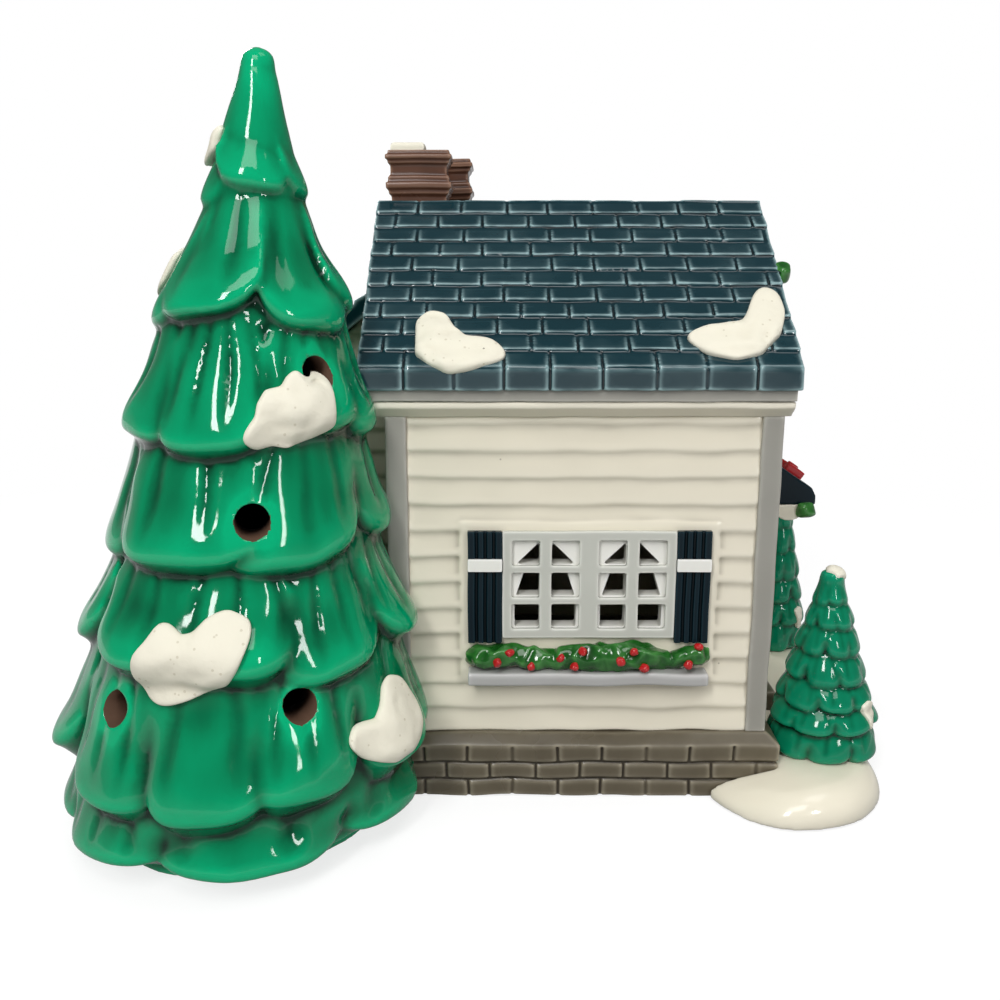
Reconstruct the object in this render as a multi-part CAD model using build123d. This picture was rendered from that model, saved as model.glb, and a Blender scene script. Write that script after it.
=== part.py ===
from build123d import *
import math
import os

# Ceramic village house with a glazed fir tree and a pull-out lamp.
# Lengths are in millimetres. X runs from the rear wing to the front door, Y from the photographed
# side to the far side, Z upwards. The origin is the middle of the main block on the table.

# Main block and rear wing
house_length = 90.0
house_width = 88.0
wing_depth = 27.0
wing_setback = 36.0
wing_bay = 10.0
wing_half_width = 23.0
wall_thickness = 3.5
board_height = 6.44
board_lap = 0.8
corner_board_width = 3.6
corner_board_thickness = 1.4

# Stone foundation
foundation_height = 15.8
foundation_overhang = 4.5
foundation_slope_height = 2.4
foundation_top_ledge = 1.6
stone_courses = 3
block_length = 11.0
mortar_width = 0.8
mortar_depth = 0.7
floor_thickness = 4.0

# Roofs
roof_pitch = 38.5
roof_thickness = 4.0
eave_overhang = 5.5
eave_height = 101.2
wing_eave_height = 98.0
front_rake = 4.0
rear_rake = 7.0
main_courses = 11
wing_courses = 7
shingle_lip = 0.9
shingle_width = 10.0
shingle_joint = 0.7
shingle_joint_depth = 0.7

# Trim under the roof edges
crown_height = 3.8
crown_reach = 4.2
crown_foot = 1.4
fascia_reach = 4.8
fascia_height = 2.6
trim_setback = 1.0
rake_board_width = 3.2
rake_board_thickness = 1.8

# Chimneys: shaft, cap and band sizes are shared
chimney_length = 15.0
chimney_width = 12.0
chimney_top = 159.0
chimney_cornice = 1.3
cornice_height = 3.4
band_drop = 6.6
band_height = 4.6
flue_wall = 3.0
flue_depth = 4.0
chimney_near_place = (-41.3, 10.5)
chimney_far_place = (-36.3, 32.5)
chimney_cap_length = 9.0
chimney_cap_height = 2.2

# Side window unit
window_width = 41.5
window_height = 26.6
window_bottom = 41.0
near_window_x = 1.7
far_window_x = 8.2
panel_thickness = 1.0
panel_margin = 1.6
sash_thickness = 1.6
sash_rail = 2.3
muntin_width = 1.7
mullion_width = 2.9
curtain_thickness = 5.2
curtain_openings = [
    [(0.0, 0.0), (0.9, 0.0), (0.9, 1.0), (0.0, 1.0)],
    [(0.0, 0.0), (0.85, 0.0), (0.55, 1.0), (0.0, 1.0)],
    [(0.0, 0.0), (0.85, 0.0), (0.0, 0.9)],
]
shutter_width = 8.3
shutter_drop = 1.4
shutter_thickness = 1.8
shutter_grooves = 3
shutter_band_height = 3.0
shutter_band_thickness = 0.8
shutter_band_rise = 17.0
ledge_height = 3.2
ledge_reach = 5.0
ledge_drop = 11.2
garland_rise = 3.0
garland_sections = [
    (-29.6, 0.0, 1.4), (-27.0, 0.2, 2.8), (-22.0, 0.4, 3.1), (-17.0, 0.3, 2.8), (-12.5, -0.2, 2.8),
    (-8.0, -0.4, 2.4), (-4.0, 0.0, 2.8), (1.0, 0.2, 3.2), (6.0, 0.4, 3.5), (12.0, 0.6, 3.7),
    (16.0, 0.1, 3.0), (20.0, -0.7, 2.1), (24.0, 0.2, 2.7), (27.5, 0.6, 2.8), (29.6, 0.5, 1.4),
]
berry_radius = 1.1
berry_gap = 0.12
berry_places = [
    (-22.0, -5.0), (-18.9, 25.0), (-13.8, -18.0), (-6.7, 15.0), (-3.4, -20.0), (-1.3, 35.0),
    (7.6, 0.0), (10.8, 28.0), (13.3, -22.0), (24.2, -15.0), (26.6, 45.0),
]

# Front of the house
front_window_y = 28.0
front_window_width = 16.0
door_width = 16.0
door_height = 40.0
door_thickness = 2.0
door_recess = 0.8
door_frame_width = 2.6
door_frame_thickness = 2.2
knob_radius = 1.0
step_depth = 8.0
hood_half_width = 14.0
hood_reach = 20.0
hood_bottom = 66.5
hood_nose_height = 4.6
hood_nose_lean = 1.1
hood_rise = 17.4
valance_radius = 4.4
hood_bead_radius = 2.4
hood_beads = 9
bow_span = 10.0
bow_thickness = 2.4
gable_bead_radius = 2.7
gable_beads_per_side = 6
gable_swag_half_span = 21.0
gable_swag_low = 117.0
gable_swag_sag = 10.0
gable_swag_reach = 2.2
gable_swag_spread = 2.8
wing_vent_x = -60.0
wing_vent_width = 7.0
wing_vent_bottom = 93.0
wing_vent_height = 10.0

# Snow
yard_height = 8.5
yard_round = 7.0
yard_outline = [
    (30.0, -40.0), (34.0, -53.0), (42.0, -62.5), (52.0, -65.5), (64.0, -62.0), (73.0, -53.0),
    (76.0, -38.0), (74.5, -18.0), (76.5, 8.0), (80.5, 32.0), (78.0, 49.0), (66.0, 57.0),
    (50.0, 53.0), (42.0, 40.0), (38.0, 0.0),
]
roof_snow_thickness = 1.9
left_snow_outline = [
    (-39.3, 18.3), (-38.9, 7.0), (-35.5, 3.4), (-31.6, 1.6), (-26.4, 2.2), (-19.6, 4.6),
    (-17.5, 7.2), (-21.9, 12.5), (-26.6, 12.2), (-30.1, 15.5), (-31.9, 20.4), (-36.3, 21.6),
]
right_snow_outline = [
    (22.6, 13.6), (24.3, 10.3), (27.3, 7.2), (33.9, 5.2), (39.9, 7.2), (45.3, 13.8),
    (47.6, 20.8), (47.4, 28.5), (43.9, 31.4), (40.3, 28.2), (39.6, 22.6), (36.8, 18.1), (28.0, 16.2),
]
far_snow_outline = [
    (0.0, 20.0), (2.0, 11.0), (9.0, 7.0), (18.0, 9.0), (22.0, 15.0), (16.0, 21.0), (7.0, 25.0),
]

# Boughs of all three trees, as parts of the rim radius of a tier or of the height of its sides:
# the neck under the tier above, how the sides flare, the rolled lip and the gaps between two lips
bough_neck = 0.86
bough_overlap = 0.1
bough_flare = 0.25
spire_flare = 0.9
bough_spread = 1.3
bough_roll = 0.45
bough_roll_start = 0.7
bough_notch_width = 0.3
bough_notch_height = 0.17
bough_notch_start = 0.72

# Topiaries: rim height above the snow and rim radius of each tier, from the ground up
near_topiary_place = (62.4, -36.0)
far_topiary_place = (70.5, 36.0)
far_topiary_stretch = 1.22
far_topiary_girth = 0.8
topiary_height = 47.0
topiary_rims = [(0.6, 12.9), (7.2, 12.6), (13.0, 11.2), (19.0, 9.4), (26.0, 7.5), (32.5, 5.7), (38.5, 3.9)]
topiary_boughs = [(7, 26.0 * (tier % 2)) for tier in range(len(topiary_rims))]
topiary_lobe_depth = 0.05
topiary_tip_radius = 1.0
topiary_foot = 0.7
topiary_cap_height = 5.0
topiary_cap_radius = 2.2

# Fir tree: rim height and rim radius of each bough tier, from the ground up, then its bough count
# and the angle of one bough from the photographed side
tree_x = -81.3
tree_y = -52.0
tree_lean = 0.065
tree_height = 173.5
tree_rims = [
    (4.0, 43.4), (19.5, 44.4), (47.5, 39.4), (69.5, 33.2), (94.0, 28.6), (118.0, 22.2), (143.5, 11.9),
]
tree_boughs = [(7, 17.5), (10, -2.0), (9, 5.0), (6, -19.0), (7, -8.0), (6, -10.0), (4, 15.0)]
tree_lobe_depth = 0.04
tree_tip_radius = 2.2
tree_wall = 4.0
tree_floor = 4.0
tree_foot_radius = 31.0
light_hole_radius = 3.6
light_holes = [
    (13.5, 78.5), (29.5, 40.3), (-34.0, 39.2), (47.5, 107.0),
    (-110.0, 77.0), (-150.0, 44.0), (-95.0, 106.0), (175.0, 104.0),
]
light_passage_radius = 6.0
light_passage_y = -34.0
light_passage_z = 30.0
tree_snow_thickness = 1.5
tree_snow = [
    (31.0, 100.5, 21.0, 16.0), (-1.0, 52.7, 26.0, 17.0), (62.5, 31.5, 17.0, 16.0),
    (-90.0, 148.0, 8.0, 9.0), (-93.0, 124.0, 11.0, 11.0), (-97.0, 34.0, 13.0, 15.0),
    (-160.0, 76.0, 18.0, 13.0),
]

# Pull-out lamp
lamp_y = 24.0
lamp_z = 38.0
lamp_hole_radius = 13.0
lamp_pad_radius = 17.0
lamp_pad_thickness = 1.4
holder_radius = 9.5
holder_length = 29.0
holder_flange_radius = 15.0
holder_flange_thickness = 2.4
holder_cap_length = 6.0
socket_depth = 16.0
shell_wall = 0.5
cord_inlet_radius = 2.6
contact_radius = 3.0
contact_thickness = 0.6
clip_width = 6.0
clip_thickness = 0.5
clip_length = 16.0
clip_root_gap = 0.2
clip_start = 0.2
clip_bow = 2.3
clip_hook = 0.7
bulb_base_radius = 6.0
bulb_base_length = 13.0
bulb_fit = 0.08
bulb_thread_height = 0.35
bulb_thread_turns = 3
bulb_tip_radius = 2.4
bulb_tip_length = 1.6
bulb_radius = 10.8
bulb_length = 40.0
bulb_glass_wall = 0.8


# Derived places
tan_pitch = math.tan(math.radians(roof_pitch))
cos_pitch = math.cos(math.radians(roof_pitch))
rear_x = -house_length / 2
front_x = house_length / 2
near_y = -house_width / 2
far_y = house_width / 2
main_run = house_width / 2 + eave_overhang
wing_x = rear_x - wing_depth
wing_ridge_x = wing_x + wing_half_width
bay_x = wing_x + 2 * wing_half_width
wing_near_y = near_y + wing_setback
wing_far_y = far_y + wing_bay
wing_run = wing_half_width + eave_overhang
ridge_height = eave_height + main_run * tan_pitch
roof_rear_x = rear_x - rear_rake
roof_front_x = front_x + front_rake
crown_bottom = eave_height - fascia_height - crown_height
window_top = window_bottom + window_height
tall = 2 * ridge_height
footprint = [
    (rear_x, near_y), (front_x, near_y), (front_x, far_y), (bay_x, far_y),
    (bay_x, wing_far_y), (wing_x, wing_far_y), (wing_x, wing_near_y), (rear_x, wing_near_y),
]


# Shared shapes

def block(x0, x1, y0, y1, z0, z1):
    """Box between two opposite corners."""
    return Pos((x0 + x1) / 2, (y0 + y1) / 2, (z0 + z1) / 2) * Box(x1 - x0, y1 - y0, z1 - z0)


def prism_x(points, x0, x1):
    """Polygon of (y, z) points drawn out along X."""
    return extrude(Plane.YZ.offset(x0) * Polygon(*points, align=None), amount=x1 - x0, dir=(1, 0, 0))


def prism_y(points, y0, y1):
    """Polygon of (x, z) points drawn out along Y."""
    return extrude(Plane.XZ.offset(-y0) * Polygon(*points, align=None), amount=y1 - y0, dir=(0, 1, 0))


def prism_z(points, z0, z1):
    """Polygon of (x, y) points drawn out along Z."""
    return extrude(Plane.XY.offset(z0) * Polygon(*points, align=None), amount=z1 - z0, dir=(0, 0, 1))


def rod_x(x0, x1, y, z, radius):
    """Round bar along X."""
    return Pos((x0 + x1) / 2, y, z) * Rot(0, 90, 0) * Cylinder(radius, x1 - x0)


def outset(points, distance):
    """Square-cornered outline, counter-clockwise, moved outwards by a distance."""
    moved = []
    for i, (x, y) in enumerate(points):
        ax, ay = points[i - 1]
        bx, by = points[(i + 1) % len(points)]
        into = math.hypot(x - ax, y - ay)
        out = math.hypot(bx - x, by - y)
        nx = (y - ay) / into + (by - y) / out
        ny = -(x - ax) / into - (bx - x) / out
        moved.append((x + distance * nx, y + distance * ny))
    return moved


def tapered_layer(points, bottom_outset, top_outset, z0, z1):
    """Slab of the outline whose sides lean in from the bottom outset to the top outset."""
    lower = Plane.XY.offset(z0) * Polygon(*outset(points, bottom_outset), align=None)
    upper = Plane.XY.offset(z1) * Polygon(*outset(points, top_outset), align=None)
    return loft([lower, upper], ruled=True)


def joined(solids):
    """One shape from a list of touching solids."""
    return solids[0].fuse(*solids[1:]) if len(solids) > 1 else solids[0]


def biggest(shape):
    """The largest solid of a shape."""
    return max(shape.solids(), key=lambda solid: solid.volume)


def rounded_pad(outline, z0, z1, radius):
    """Pad with a smooth outline and a rounded upper rim."""
    face = make_face(Spline(*outline, periodic=True))
    pad = extrude(Plane.XY.offset(z0) * face, amount=z1 - z0, dir=(0, 0, 1))
    rim = pad.faces().sort_by(Axis.Z)[-1].edges()
    return fillet(rim, radius)


def bead_chain(centres, radius):
    """Fused round beads."""
    return joined([Pos(*centre) * Sphere(radius) for centre in centres])


# Roof shapes, with the ridge along the local X axis

def shingle_top(run, eave, courses):
    """Upper outline of a shingled gable roof as (y, z) points from eave to eave."""
    base = eave + roof_thickness / cos_pitch
    near = []
    for k in range(courses):
        for step, lip in ((k, shingle_lip), (k + 1, 0.0)):
            inward = run * step / courses
            near.append((inward - run, base + inward * tan_pitch + lip))
    far = [(-y, z) for y, z in reversed(near[:-1])]
    return near + far


def under_roof(run, eave, x0, x1):
    """Everything below the underside of a roof."""
    points = [(-run, 0), (run, 0), (run, eave), (0, eave + run * tan_pitch), (-run, eave)]
    return prism_x(points, x0, x1)


def below_shingles(run, eave, courses, x0, x1):
    """Everything below the shingled top of a roof."""
    return prism_x([(-run, 0)] + shingle_top(run, eave, courses) + [(run, 0)], x0, x1)


def shingle_joints(run, eave, courses, x0, x1):
    """Narrow slots between neighbouring shingles, half a shingle apart on alternate courses."""
    top = shingle_top(run, eave, courses)
    count = max(2, round((x1 - x0) / shingle_width))
    pitch_x = (x1 - x0) / count
    slots = []
    for k in range(courses):
        (y0, z0), (y1, z1) = top[2 * k], top[2 * k + 1]
        deep = [(y0 - 0.2, z0 - shingle_joint_depth), (y1, z1 - shingle_joint_depth)]
        high = [(y1, z1 + shingle_joint), (y0 - 0.2, z0 + shingle_joint)]
        shift = 0.5 if k % 2 else 0.0
        for i in range(1, count + 1):
            x = x0 + (i - shift) * pitch_x
            if x < x1 - shingle_joint:
                for side in (1, -1):
                    points = [(side * y, z) for y, z in deep + high]
                    slots.append(prism_x(points, x - shingle_joint / 2, x + shingle_joint / 2))
    return slots


def roof_slab(run, eave, courses, x0, x1):
    """Shingled roof of two slopes."""
    inner = [(run, eave), (0, eave + run * tan_pitch), (-run, eave)]
    slab = prism_x(shingle_top(run, eave, courses) + inner, x0, x1)
    return slab.cut(*shingle_joints(run, eave, courses, x0, x1))


def on_wing(shape):
    """Turn a roof shape so that its ridge runs along Y over the wing."""
    return Pos(wing_ridge_x, 0, 0) * Rot(0, 0, 90) * shape


roof_edge_near = wing_near_y - eave_overhang
roof_edge_far = wing_far_y + eave_overhang
main_below = below_shingles(main_run, eave_height, main_courses, roof_rear_x, roof_front_x)
wing_below = on_wing(below_shingles(wing_run, wing_eave_height, wing_courses, roof_edge_near, roof_edge_far))
main_under = under_roof(main_run, eave_height, rear_x, front_x + board_lap)
wing_under = on_wing(under_roof(wing_run, wing_eave_height, roof_edge_near, roof_edge_far))


# Foundation and floor

def exposed_runs(points):
    """Each straight run of an outline: start, direction, length and outward normal."""
    runs = []
    for i, (x, y) in enumerate(points):
        bx, by = points[(i + 1) % len(points)]
        length = math.hypot(bx - x, by - y)
        dx, dy = (bx - x) / length, (by - y) / length
        runs.append((x, y, dx, dy, length))
    return runs


def mortar_joints(points, top):
    """Joints between the stones on every exposed run of the foundation."""
    course = top / stone_courses
    joints = []
    for x, y, dx, dy, length in exposed_runs(points):
        turn = Pos(x, y, 0) * Rot(0, 0, math.degrees(math.atan2(dy, dx)))
        for k in range(1, stone_courses):
            bed = block(0, length, -mortar_depth, mortar_depth, -mortar_width / 2, mortar_width / 2)
            joints.append(turn * Pos(0, 0, k * course) * bed)
        count = max(1, round(length / block_length))
        for k in range(stone_courses):
            shift = 0.5 if k % 2 else 0.0
            for i in range(1, count + 1):
                along = (i - shift) * length / count
                if along < length - mortar_width:
                    head = block(-mortar_width / 2, mortar_width / 2, -mortar_depth, mortar_depth, 0, course)
                    joints.append(turn * Pos(along, 0, k * course) * head)
    return joints


stone_top = foundation_height - foundation_slope_height
foundation_block = joined([
    prism_z(outset(footprint, foundation_overhang), 0, stone_top),
    tapered_layer(footprint, foundation_overhang, foundation_top_ledge, stone_top, foundation_height),
])
room = prism_z(outset(footprint, -wall_thickness), 0, tall)
stone_foundation = (foundation_block - room).cut(
    *mortar_joints(outset(footprint, foundation_overhang), stone_top))
floor_slab = prism_z(outset(footprint, -wall_thickness), 0, floor_thickness)


# House walls

def corner_post(x, y, sx, sy):
    """Angle-shaped corner board on an outside corner; sx and sy point out of the house."""
    outer = block(*sorted((x - sx * corner_board_width, x + sx * corner_board_thickness)),
                  *sorted((y - sy * corner_board_width, y + sy * corner_board_thickness)),
                  foundation_height, crown_bottom)
    inner = block(*sorted((x - 2 * sx * corner_board_width, x)),
                  *sorted((y - 2 * sy * corner_board_width, y)),
                  foundation_height, crown_bottom)
    return outer - inner


def window_panel(width, bottom, top):
    """Raised flat field around a window, with its face on the local plane y = 0."""
    return block(-width / 2, width / 2, 0, panel_thickness + wall_thickness / 2, bottom, top)


def window_hole(width, bottom, top):
    """Opening behind a window sash."""
    depth = 2 * (panel_thickness + wall_thickness)
    return block(-width / 2, width / 2, -panel_thickness, depth, bottom, top)


near_place = Pos(near_window_x, near_y - panel_thickness, 0)
far_place = Pos(far_window_x, far_y + panel_thickness, 0) * Rot(0, 0, 180)
front_turn = Rot(0, 0, 90)
front_places = [Pos(front_x + panel_thickness, side * front_window_y, 0) * front_turn for side in (-1, 1)]
door_place = Pos(front_x + panel_thickness, 0, 0) * front_turn
vent_place = Pos(wing_vent_x, wing_near_y - panel_thickness, 0)

unit_width = window_width + 2 * shutter_width + 2 * panel_margin
unit_bottom = window_bottom - ledge_drop
hole_inset = sash_rail / 2
hole_width = window_width - 2 * hole_inset
front_panel_width = front_window_width + 2 * panel_margin
front_hole_width = front_window_width - 2 * hole_inset
door_bottom = foundation_height
door_top = door_bottom + door_height
door_panel_width = door_width + 2 * (door_frame_width + panel_margin)
door_field_top = door_top + door_frame_width + panel_margin
vent_panel_width = wing_vent_width + 2 * panel_margin

corner_boards = [
    corner_post(rear_x, near_y, -1, -1), corner_post(front_x, near_y, 1, -1),
    corner_post(front_x, far_y, 1, 1), corner_post(bay_x, wing_far_y, 1, 1),
    corner_post(wing_x, wing_far_y, -1, 1), corner_post(wing_x, wing_near_y, -1, -1),
]


def rake_chevron(x0, x1):
    """Boards that follow both slopes just under the main roof."""
    drop = rake_board_width / cos_pitch
    points = [
        (-main_run, eave_height), (0, ridge_height), (main_run, eave_height),
        (main_run, eave_height - drop), (0, ridge_height - drop), (-main_run, eave_height - drop),
    ]
    return prism_x(points, x0, x1)


def eave_trim(points, start, end):
    """Moulding along one eave; the points are (reach beyond the wall, height)."""
    return prism_x([(near_y - reach, z) for reach, z in points], start, end)


trim_start = roof_rear_x + trim_setback
trim_end = roof_front_x - trim_setback
far_trim_start = bay_x + eave_overhang + trim_setback
fascia_bottom = eave_height - fascia_height
crown_points = [
    (0, crown_bottom), (crown_foot, crown_bottom), (crown_reach, fascia_bottom - crown_foot),
    (crown_reach, fascia_bottom), (0, fascia_bottom),
]
fascia_points = [
    (0, fascia_bottom), (fascia_reach, fascia_bottom),
    (fascia_reach, eave_height + (eave_overhang - fascia_reach) * tan_pitch),
    (0, eave_height + eave_overhang * tan_pitch),
]
over_table = Rot(0, 0, 180)
eave_crown = [
    eave_trim(crown_points, trim_start, trim_end),
    over_table * eave_trim(crown_points, -trim_end, -far_trim_start),
]
eave_fascia = [
    eave_trim(fascia_points, trim_start, trim_end),
    over_table * eave_trim(fascia_points, -trim_end, -far_trim_start),
]
fascia_stop = block(rear_x - tall, front_x + tall, near_y - fascia_reach, far_y + fascia_reach, 0, tall)
front_rake_boards = rake_chevron(front_x, front_x + rake_board_thickness) & fascia_stop
front_rake_boards = biggest(front_rake_boards.cut(*eave_crown, *eave_fascia))
rear_rake_boards = rake_chevron(rear_x - rake_board_thickness, rear_x) & fascia_stop
rear_rake_boards = biggest(rear_rake_boards.cut(wing_below, *eave_crown, *eave_fascia))


def wing_trim():
    """Fascia under the rear eave of the wing."""
    drop = wing_eave_height - fascia_height
    points = [
        (wing_x, drop), (wing_x, wing_eave_height + eave_overhang * tan_pitch),
        (wing_x - fascia_reach, wing_eave_height + (eave_overhang - fascia_reach) * tan_pitch),
        (wing_x - fascia_reach, drop),
    ]
    return prism_y(points, roof_edge_near + trim_setback, roof_edge_far - trim_setback)


wing_fascia = wing_trim()


def clapboards():
    """Stack of lapped boards round the whole outline, up to the ridge."""
    count = math.ceil((ridge_height - foundation_height) / board_height)
    layers = []
    for k in range(count):
        z0 = foundation_height + k * board_height
        layers.append(tapered_layer(footprint, board_lap, 0.0, z0, z0 + board_height))
    return joined(layers)


def house_shell():
    """Walls with raised window fields, the openings and the seats of the trim."""
    rear_gable = block(rear_x, rear_x + wall_thickness, wing_near_y, far_y, crown_bottom, tall)
    lamp_pad = rod_x(wing_x - lamp_pad_thickness, wing_x + wall_thickness / 2, lamp_y, lamp_z,
                     lamp_pad_radius)
    fields = [
        near_place * window_panel(unit_width, unit_bottom, window_top + panel_margin),
        far_place * window_panel(unit_width, unit_bottom, window_top + panel_margin),
        door_place * window_panel(door_panel_width, door_bottom, door_field_top),
        vent_place * window_panel(vent_panel_width, wing_vent_bottom - panel_margin,
                                  wing_vent_bottom + wing_vent_height + panel_margin),
        lamp_pad,
    ]
    holes = [
        near_place * window_hole(hole_width, window_bottom + hole_inset, window_top - hole_inset),
        far_place * window_hole(hole_width, window_bottom + hole_inset, window_top - hole_inset),
        door_place * window_hole(door_width, door_bottom, door_top),
        vent_place * window_hole(wing_vent_width, wing_vent_bottom, wing_vent_bottom + wing_vent_height),
        rod_x(wing_x - holder_radius, wing_x + 2 * wall_thickness, lamp_y, lamp_z, lamp_hole_radius),
        rod_x(rear_x - foundation_overhang, rear_x + 2 * wall_thickness, light_passage_y, light_passage_z,
              light_passage_radius),
    ]
    for place in front_places:
        fields.append(place * window_panel(front_panel_width, window_bottom - panel_margin,
                                           window_top + panel_margin))
        holes.append(place * window_hole(front_hole_width, window_bottom + hole_inset,
                                         window_top - hole_inset))
    outside = clapboards() & (main_under + wing_under)
    shell = (outside - room).fuse(rear_gable & main_under, *fields)
    trim = [*corner_boards, *eave_crown, *eave_fascia, front_rake_boards, rear_rake_boards, wing_fascia]
    return biggest(shell.cut(*holes, *trim))


house_walls = house_shell()


# Roofs and chimneys

main_roof = roof_slab(main_run, eave_height, main_courses, roof_rear_x, roof_front_x)
main_roof = biggest(main_roof - wing_under)
wing_roof = on_wing(roof_slab(wing_run, wing_eave_height, wing_courses, roof_edge_near, roof_edge_far))
wing_roof = biggest(wing_roof - main_below)


def chimney(x, y):
    """Moulded shaft with a cornice, a lower band and a flue, standing on the roofs."""
    def ring(grow, z0, z1):
        half_x = chimney_length / 2 + grow
        half_y = chimney_width / 2 + grow
        return block(x - half_x, x + half_x, y - half_y, y + half_y, z0, z1)

    def moulding(top, height):
        third = height / 3
        return [
            ring(chimney_cornice / 2, top - height, top - 2 * third),
            ring(chimney_cornice, top - 2 * third, top - third),
            ring(chimney_cornice / 2, top - third, top),
        ]

    pieces = [ring(0.0, wing_eave_height, chimney_top)]
    pieces += moulding(chimney_top, cornice_height)
    pieces += moulding(chimney_top - band_drop, band_height)
    stack = joined(pieces)
    flue = ring(-flue_wall, chimney_top - flue_depth, chimney_top + flue_depth)
    return biggest(stack.cut(flue, main_below, wing_below))


chimney_near = chimney(*chimney_near_place)
chimney_far = chimney(*chimney_far_place)
cap_x, cap_y = chimney_near_place
cap_half = chimney_width / 2
chimney_snow_cap = block(cap_x - chimney_length / 2, cap_x - chimney_length / 2 + chimney_cap_length,
                         cap_y - cap_half, cap_y + cap_half, chimney_top, chimney_top + chimney_cap_height)
chimney_snow_cap = fillet(chimney_snow_cap.faces().sort_by(Axis.Z)[-1].edges(), chimney_cap_height / 2)


# Snow on the roof, drawn on the slope as (x, distance up from the eave)

def roof_snow(outline, turn):
    """Raised pad that rests on the shingles; a turn of 180 degrees puts it on the far slope."""
    lowest = roof_thickness - shingle_joint_depth
    thick = roof_thickness + shingle_lip + roof_snow_thickness
    pad = rounded_pad(outline, lowest, thick, roof_snow_thickness / 2)
    slope = Rot(0, 0, turn) * Pos(0, -main_run, eave_height) * Rot(roof_pitch, 0, 0)
    return biggest((slope * pad) - main_roof)


roof_snow_left = roof_snow(left_snow_outline, 0)
roof_snow_right = roof_snow(right_snow_outline, 0)
roof_snow_far = roof_snow([(-x, s) for x, s in reversed(far_snow_outline)], 180)


# Window units, with the wall field on the local plane y = 0 and the outside towards -y

def sash(x, width):
    """Sash of two panes by three with its rails."""
    body = block(x - width / 2, x + width / 2, -sash_thickness, 0, window_bottom, window_top)
    pane_width = (width - 2 * sash_rail - mullion_width) / 2
    pane_height = (window_height - 2 * sash_rail - 2 * muntin_width) / 3
    panes = []
    for side in (-1, 1):
        middle = x + side * (pane_width + mullion_width) / 2
        for row in range(3):
            z0 = window_bottom + sash_rail + row * (pane_height + muntin_width)
            panes.append(block(middle - pane_width / 2, middle + pane_width / 2, -2 * sash_thickness,
                               sash_thickness, z0, z0 + pane_height))
    return body.cut(*panes)


def curtain_cuts(x, width):
    """Openings that a pair of drawn curtains leaves behind the panes of one sash."""
    pane_width = (width - 2 * sash_rail - mullion_width) / 2
    pane_height = (window_height - 2 * sash_rail - 2 * muntin_width) / 3
    cuts = []
    for side in (-1, 1):
        for row, shape in enumerate(curtain_openings):
            x0 = x + side * mullion_width / 2
            z0 = window_bottom + sash_rail + row * (pane_height + muntin_width)
            points = [(x0 + side * a * pane_width, z0 + b * pane_height) for a, b in shape]
            cuts.append(prism_y(points, -wall_thickness, 3 * wall_thickness))
    return cuts


def curtains(width, sashes):
    """Thick white sheet that closes the wall opening behind the sashes."""
    sheet = block(-width / 2, width / 2, 0, curtain_thickness, window_bottom + hole_inset,
                  window_top - hole_inset)
    return sheet.cut(*[cut for x, opening in sashes for cut in curtain_cuts(x, opening)])


def shutter(side):
    """Board shutter beside the sashes, grooved along its height."""
    inner = window_width / 2
    x0, x1 = sorted((side * inner, side * (inner + shutter_width)))
    body = block(x0, x1, -shutter_thickness, 0, window_bottom - shutter_drop, window_top)
    step = shutter_width / (shutter_grooves + 1)
    grooves = []
    for i in range(1, shutter_grooves + 1):
        x = x0 + i * step
        grooves.append(block(x - mortar_width / 2, x + mortar_width / 2, -2 * shutter_thickness,
                             mortar_depth - shutter_thickness, 0, tall))
    return body.cut(*grooves)


def shutter_band(side):
    """White band across a shutter."""
    inner = window_width / 2
    x0, x1 = sorted((side * inner, side * (inner + shutter_width)))
    z0 = window_bottom + shutter_band_rise
    return block(x0, x1, -shutter_thickness - shutter_band_thickness, -shutter_thickness, z0,
                 z0 + shutter_band_height)


half_sash = window_width / 2
both_sashes = sash(-half_sash / 2, half_sash).fuse(sash(half_sash / 2, half_sash))
window_curtains = curtains(hole_width, [(-half_sash / 2, half_sash), (half_sash / 2, half_sash)])
shutters = [shutter(-1), shutter(1)]
shutter_bands = [shutter_band(-1), shutter_band(1)]

ledge_length = window_width + 2 * shutter_width
ledge_top = unit_bottom + ledge_height
window_ledge = block(-ledge_length / 2, ledge_length / 2, -ledge_reach, 0, unit_bottom, ledge_top)
window_ledge = fillet(window_ledge.edges().filter_by(Axis.X).sort_by(Axis.Y)[:2], ledge_height / 4)


def garland_at(x):
    """Middle (y, z) and radius of the garland at a place along the ledge."""
    for (x0, z0, r0), (x1, z1, r1) in zip(garland_sections, garland_sections[1:]):
        if x0 <= x <= x1:
            share = (x - x0) / (x1 - x0)
            radius = r0 + share * (r1 - r0)
            return -radius / 2, ledge_top + garland_rise + z0 + share * (z1 - z0), radius


def window_garland():
    """Wavy evergreen rope lying on the ledge, under the shutters."""
    rings = []
    for x, _, _ in garland_sections:
        y, z, radius = garland_at(x)
        rings.append(Plane(origin=(x, y, z), x_dir=(0, 1, 0), z_dir=(1, 0, 0)) * Circle(radius))
    rope = loft(rings, ruled=True)
    room_for_it = block(-ledge_length, ledge_length, -ledge_length, 0, ledge_top, tall)
    return biggest((rope & room_for_it).cut(*shutters))


def window_berries():
    """Round berries on the outside of the garland."""
    found = []
    for x, rise in berry_places:
        y, z, radius = garland_at(x)
        reach = radius + berry_radius + berry_gap
        turn = math.radians(rise)
        found.append(Pos(x, y - reach * math.cos(turn), z + reach * math.sin(turn)) * Sphere(berry_radius))
    return found


evergreen = window_garland()
berries = window_berries()
front_sashes = [place * sash(0.0, front_window_width) for place in front_places]
front_curtains = [place * curtains(front_hole_width, [(0.0, front_window_width)]) for place in front_places]


# Door, hood and gable garland

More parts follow.
